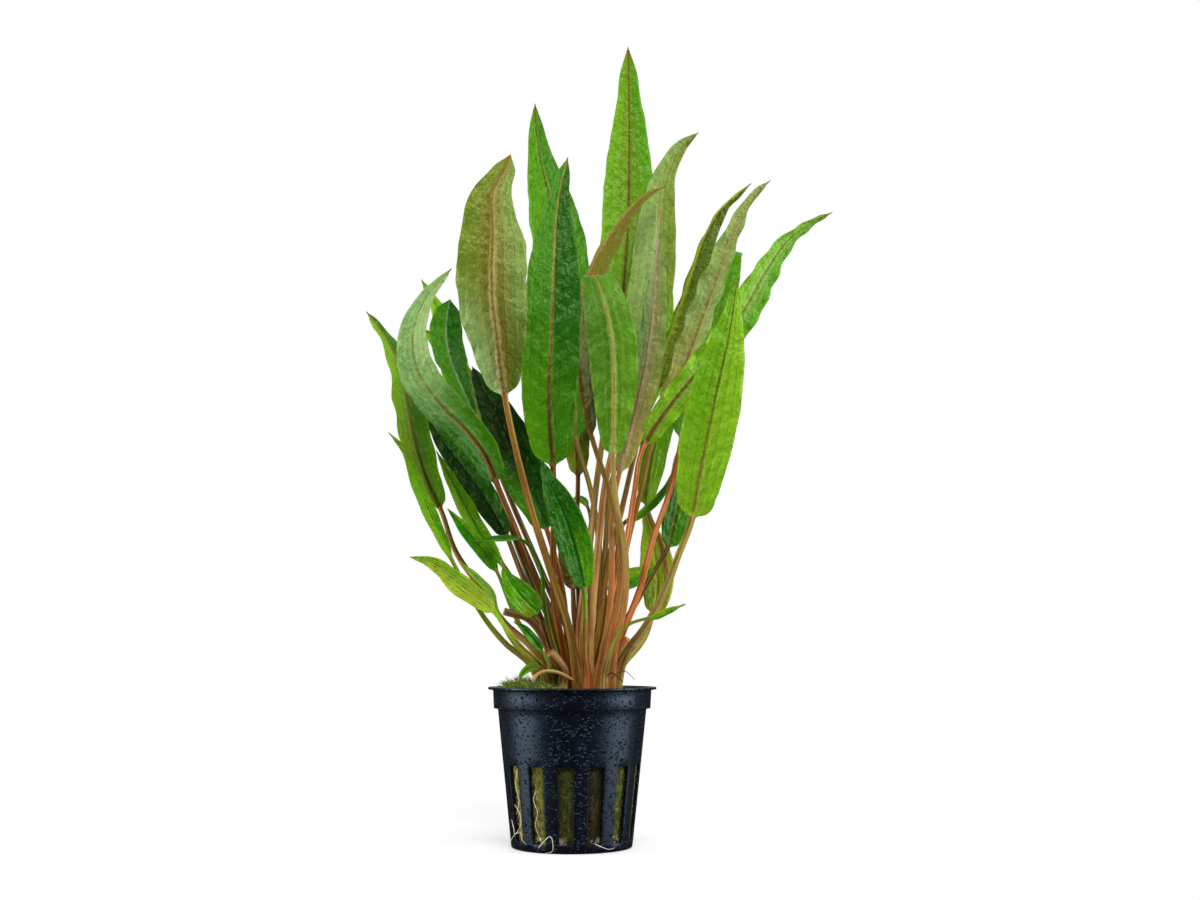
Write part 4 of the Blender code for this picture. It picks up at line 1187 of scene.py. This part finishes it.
def rootstock_piece():
    """The brown crown that the stalks grow from, lumpy between their feet."""
    columns = 128
    angles = 2 * np.pi * np.arange(columns) / columns
    way = np.column_stack([np.sin(angles), -np.cos(angles)])
    low = ROCKWOOL_TOP - 5.6
    radii = np.array(ROOTSTOCK_RADII)
    rings = [(0.84, low), (0.97, low + 2.0), (1.0, low + 4.5), (0.985, ROOTSTOCK_TOP - 0.3)]
    rings += [(0.94 * (1 - t) ** 0.8, ROOTSTOCK_TOP + 0.55) for t in np.linspace(0, 0.96, 22)]
    rows = []
    for share, height in rings:
        flat = np.column_stack([ROOTSTOCK_CENTRE_X + radii[0] * share * way[:, 0], radii[1] * share * way[:, 1]])
        level = np.full(columns, height)
        if height > ROOTSTOCK_TOP:
            level = level + np.array([
                0.9 * noise.noise(Vector((p[0] * 0.45, p[1] * 0.45, 5.0)))
                + 0.35 * noise.noise(Vector((p[0] * 1.7, p[1] * 1.7, 9.0))) for p in flat])
        rows.append(np.column_stack([flat, level]))
    points = np.vstack(rows)
    made = Finish("rootstock_bark")
    place = made.place()
    broad = made.noise(place, 0.5, 4.0, 0.65)
    fine = made.noise(place, 2.5, 4.0, 0.7)
    colour = made.mix(made.step(broad, 0.4, 0.65), "brown", "dark_stalk")
    colour = made.mix(made.times(made.step(fine, 0.5, 0.7), 0.5), colour, "tan")
    colour = made.mix(made.times(made.step(broad, 0.55, 0.4), 0.4), colour, "olive_dark")
    finish = made.finish(colour, 0.75, made.bump(fine, 0.5))
    faces = tube_faces(len(rows), columns, tip=False)
    new_piece("rootstock_crown", points, faces, finish, replaces=("rootstock",))


def moss_height(x, y):
    """Top of the moss cushion at a point, or the rockwool's where it doesn't grow."""
    degrees = math.degrees(math.atan2(x, -y))
    along = (degrees - MOSS_START_DEGREES) / (MOSS_END_DEGREES - MOSS_START_DEGREES)
    out = math.hypot(x, y)
    near = math.hypot((x - ROOTSTOCK_CENTRE_X) / (ROOTSTOCK_RADII[0] + 1), y / (ROOTSTOCK_RADII[1] + 1))
    if not 0 < along < 1 or out > MOSS_OUTER_RADIUS + 0.3 or near < 0.92:
        return None
    inside = min((MOSS_OUTER_RADIUS + 0.3 - out) / 2.0, (near - 0.92) * 9, 1.0)
    rise = (MOSS_TOP - ROCKWOOL_TOP - 0.8) * math.sin(math.pi * along) ** 0.5
    lump = 1 + 0.5 * noise.noise(Vector((x * 0.5, y * 0.5, 2.0)))
    return ROCKWOOL_TOP + 0.35 + rise * max(inside, 0.05) ** 0.5 * 0.6 * lump


def moss_pieces(random):
    """A green cushion with fine leafy stems standing out of it."""
    columns, depth = 120, 16
    rows = []
    floor_height = ROCKWOOL_TOP + GAP
    for i in range(columns + 1):
        angle = math.radians(MOSS_START_DEGREES + 0.2 + (MOSS_END_DEGREES - MOSS_START_DEGREES - 0.4) * i / columns)
        way = Vector((math.sin(angle), -math.cos(angle)))
        near = Vector((ROOTSTOCK_CENTRE_X + (ROOTSTOCK_RADII[0] + 1) * way.x, (ROOTSTOCK_RADII[1] + 1) * way.y))
        far = way * MOSS_OUTER_RADIUS
        ring = []
        for k in range(depth + 1):
            flat = near.lerp(far, k / depth)
            top = moss_height(flat.x, flat.y) or floor_height
            ring.append((flat.x, flat.y, max(top, floor_height + 0.3)))
        ring.append((far.x, far.y, floor_height))
        ring.append((near.x, near.y, floor_height))
        rows.append(ring)
    points = np.array(rows).reshape(-1, 3)
    faces = tube_faces(columns + 1, depth + 3, tip=False)
    new_piece("moss_cushion", points, faces, moss_finish("moss_body"), replaces=("moss",))
    starts = []
    while len(starts) < MOSS_STEMS:
        angle = math.radians(random.uniform(MOSS_START_DEGREES, MOSS_END_DEGREES))
        out = random.uniform(13.0, MOSS_OUTER_RADIUS + 0.2)
        x, y = out * math.sin(angle), -out * math.cos(angle)
        top = moss_height(x, y)
        if top:
            starts.append((x, y, top - 0.5))
    starts = np.array(starts)
    count, steps = len(starts), 5
    heading = random.uniform(0, 2 * np.pi, count)
    outwards = np.arctan2(starts[:, 1], starts[:, 0])
    heading = np.where(random.uniform(0, 1, count) < 0.4, outwards + random.normal(0, 0.7, count), heading)
    lean = random.uniform(0.2, 1.25, count)
    length = random.uniform(1.2, 3.4, count)
    tuft = (starts[:, 0] < -11) & (starts[:, 1] < -6)
    length = np.where(tuft, length * 1.45, length)
    paths = np.empty((count, steps, 3))
    paths[:, 0] = starts
    for k in range(1, steps):
        tilt = lean * (0.55 + 0.35 * k)
        way = np.column_stack([
            np.sin(tilt) * np.cos(heading), np.sin(tilt) * np.sin(heading), np.cos(tilt)])
        paths[:, k] = paths[:, k - 1] + way * (length / (steps - 1))[:, None]
        heading = heading + random.normal(0, 0.35, count)
    paths[..., 2] = np.maximum(paths[..., 2], starts[:, None, 2] - 0.6)
    reach = np.hypot(paths[..., 0], paths[..., 1])
    limit = BAND_RADIUS - WALL - 0.3
    pull = np.where((reach > limit) & (paths[..., 2] < POT_HEIGHT + 0.3), limit / reach, 1.0)
    paths[..., :2] *= pull[..., None]
    taper = np.array([0.8, 1.0, 1.0, 0.75, 0.2])
    radii = random.uniform(0.1, 0.2, count)[:, None] * taper[None, :]
    points, faces = strand_mesh(paths, radii)
    attributes = {
        "rise": np.tile(np.repeat(np.linspace(0, 1, steps), 3), count),
        "pick": np.repeat(random.uniform(0, 1, count), steps * 3),
    }
    new_piece("moss_stems", points, faces, moss_finish("moss_green", True), attributes)


def moss_finish(name, stems=False):
    made = Finish(name)
    place = made.place()
    broad = made.noise(place, 0.4, 3.0)
    fine = made.noise(place, 2.4, 4.0, 0.7)
    colour = made.mix(made.step(broad, 0.4, 0.62), "moss_dark", "moss_mid")
    if stems:
        colour = made.mix(made.times(made.value("rise"), 0.8), colour, "moss_bright")
        colour = made.mix(made.times(made.step(made.value("pick"), 0.8, 0.9), 0.7), colour, "moss_straw")
    else:
        colour = made.mix(made.times(made.step(fine, 0.5, 0.7), 0.6), colour, "moss_bright")
    return made.finish(colour, 0.6, made.bump(fine, 0.4), Subsurface_Weight=0.15,
                       Subsurface_Radius=(0.4, 1.0, 0.2), Subsurface_Scale=0.001)


# Fine roots


FINE_ROOTS = (
    # pixels of the photograph, mm behind the pot's axis, and the radius in mm
    (((514.4, 804.3), (519.5, 813), (521, 820), (518.5, 830), (513.7, 836), (510.2, 842),
      (508.8, 850.7)), -17.0, 0.09),
    (((511.6, 819.8), (513.7, 828.2), (515, 833.8), (520, 832.4), (522, 839.4), (526.3, 845)),
     -17.5, 0.08),
    (((538.3, 847.9), (543.2, 842.2), (550.2, 836.6), (553, 845), (551.6, 852), (546, 853)),
     -19.8, 0.1),
    (((594.5, 843.7), (602.2, 847.2), (609.2, 849.3), (614.8, 847.9)), -19.3, 0.1),
    (((517.0, 770.0), (515.5, 785.0), (519.0, 800.0), (516.5, 815.0)), -17.6, 0.07),
    (((536.0, 790.0), (533.5, 800.0), (537.5, 812.0), (535.5, 826.0), (540.5, 840.0)), -19.2, 0.07),
)
CURLED_ROOTS = (
    (((607, 676), (611, 673), (619, 677.9), (623.3, 682)), -14.0, 0.22),
    (((611, 680), (616, 674), (625, 671.5), (635, 680)), -12.0, 0.13),
    (((577, 679), (580, 684), (583, 681)), -17.0, 0.16),
)


def root_paths(rows):
    """Fine points in mm along each root, and the radius at each."""
    paths = []
    radii = []
    for pixels, behind, radius in rows:
        marks = np.array([seen_at(pixel, behind) for pixel in pixels])
        knots = np.concatenate([[0.0], np.cumsum(np.linalg.norm(np.diff(marks, axis=0), axis=1))])
        at = np.linspace(0.0, knots[-1], ROOT_STEPS)
        path = smooth(knots, marks, at)
        share = np.linspace(0.0, 1.0, ROOT_STEPS)
        paths.append(path)
        radii.append(radius * (1 - 0.6 * share**3) * (0.5 + 0.5 * ease(0, 0.06, share)))
    return np.array(paths), np.array(radii)


def on_pot(path, radius):
    """Moves a root's points to lie on the pot's outside, just proud of it."""
    out = np.hypot(path[:, 0], path[:, 1])
    outside = np.array([wall_radius(max(z, 0.0)) for z in path[:, 2]]) + radius + 0.05
    share = np.where(out < outside, outside / np.maximum(out, 0.1), 1.0)
    moved = path.copy()
    moved[:, :2] *= share[:, None]
    moved[:, 2] = np.maximum(moved[:, 2], radius + 0.02)
    return moved


def root_pieces():
    paths, radii = root_paths(FINE_ROOTS)
    paths = np.array([on_pot(path, radius.max()) for path, radius in zip(paths, radii)])
    points, faces = strand_mesh(paths, radii, 8)
    made = Finish("root_white")
    spots = made.noise(made.place(), 1.2, 3.0)
    colour = made.mix(made.step(spots, 0.5, 0.75), "root_white", "wool_pale")
    finish = made.finish(colour, 0.45, made.bump(spots, 0.1), Subsurface_Weight=0.3,
                         Subsurface_Radius=(1.0, 0.8, 0.6), Subsurface_Scale=0.001)
    new_piece("fine_roots", points, faces, finish)
    paths, radii = root_paths(CURLED_ROOTS)
    points, faces = strand_mesh(paths, radii, 8)
    made = Finish("root_dark")
    spots = made.noise(made.place(), 1.5, 3.0)
    colour = made.mix(made.step(spots, 0.4, 0.7), "dark_stalk", "brown")
    new_piece("curled_roots", points, faces, made.finish(colour, 0.55, made.bump(spots, 0.1)))


# Stage


def camera():
    data = bpy.data.cameras.new("camera")
    data.sensor_width = SENSOR_WIDTH
    data.lens = FOCAL_PIXELS / PHOTO_SIZE[0] * SENSOR_WIDTH
    data.clip_start = 0.01
    made = bpy.data.objects.new("camera", data)
    made.location = EYE * MM
    made.rotation_euler = (math.radians(90) + EYE_TILT, 0, 0)
    bpy.context.scene.collection.objects.link(made)
    bpy.context.scene.camera = made


def softbox(name, place, size, watts, aim=(0.0, 0.0, 0.13), colour=(1, 1, 1)):
    """An area light in metres that faces a point of the plant."""
    data = bpy.data.lights.new(name, "AREA")
    data.shape = "RECTANGLE"
    data.size, data.size_y = size
    data.energy = watts
    data.color = colour
    lamp = bpy.data.objects.new(name, data)
    lamp.location = place
    lamp.rotation_euler = (Vector(aim) - Vector(place)).to_track_quat("-Z", "Y").to_euler()
    lamp.visible_camera = False
    bpy.context.scene.collection.objects.link(lamp)


def world():
    """White where the camera looks past the plant, and a dim room as light."""
    made = bpy.data.worlds.new("room")
    bpy.context.scene.world = made
    made.use_nodes = True
    tree = made.node_tree
    tree.nodes.clear()
    seen = tree.nodes.new("ShaderNodeBackground")
    seen.inputs["Color"].default_value = (1, 1, 1, 1)
    seen.inputs["Strength"].default_value = 1.0
    lit = tree.nodes.new("ShaderNodeBackground")
    lit.inputs["Color"].default_value = (0.92, 0.96, 1.0, 1)
    lit.inputs["Strength"].default_value = 0.04
    path = tree.nodes.new("ShaderNodeLightPath")
    mix = tree.nodes.new("ShaderNodeMixShader")
    out = tree.nodes.new("ShaderNodeOutputWorld")
    tree.links.new(path.outputs["Is Camera Ray"], mix.inputs[0])
    tree.links.new(lit.outputs[0], mix.inputs[1])
    tree.links.new(seen.outputs[0], mix.inputs[2])
    tree.links.new(mix.outputs[0], out.inputs["Surface"])


def floor():
    """A pale disc that fades into the white around it."""
    made = Finish("floor")
    place = made.tree.nodes.new("ShaderNodeNewGeometry").outputs["Position"]
    length = made.tree.nodes.new("ShaderNodeVectorMath")
    length.operation = "LENGTH"
    made.put(length.inputs[0], place)
    made.finish((0.9, 0.9, 0.9, 1.0), 0.6, Emission_Strength=0.3)
    made.put(made.shader.inputs["Alpha"], made.step(length.outputs["Value"], 0.17, 0.035))
    bpy.ops.mesh.primitive_circle_add(vertices=96, radius=0.2, fill_type="NGON", location=(0, 0, -0.0001))
    disc = bpy.context.object
    disc.name = "floor"
    disc.data.materials.append(made.material)
    disc.visible_glossy = False


def lights():
    softbox("left_box", (-0.62, -0.14, 0.22), (0.5, 0.75), 4.6)
    softbox("right_box", (0.62, -0.14, 0.22), (0.5, 0.75), 4.6)
    softbox("front_box", (0.15, -0.95, 1.05), (0.8, 0.5), 11.0)
    softbox("back_box", (0.0, 0.6, 0.5), (0.9, 0.6), 1.5)


def main():
    camera()
    world()
    lights()
    floor()
    for name, look in LOOKS.items():
        leaf_piece(name, look)
    tube_piece("cut_stalk_left", cut_stalk_finish("cut_left", "terracotta", "khaki", "straw"))
    tube_piece("cut_stalk_front", cut_stalk_finish("cut_front", "khaki", "khaki", "khaki"))
    tube_piece("cut_stalk_right", cut_stalk_finish("cut_right", "olive_tan", "tan", "straw"))
    tube_piece("runner", runner_finish(), (0.7, 1.35), seen_at(*RUNNER_START))
    pot_piece()
    random = np.random.default_rng(RANDOM_SEED)
    rockwool_piece()
    rockwool_fibres(random)
    rootstock_piece()
    moss_pieces(random)
    root_pieces()
    bpy.context.scene.view_settings.view_transform = "Standard"


main()
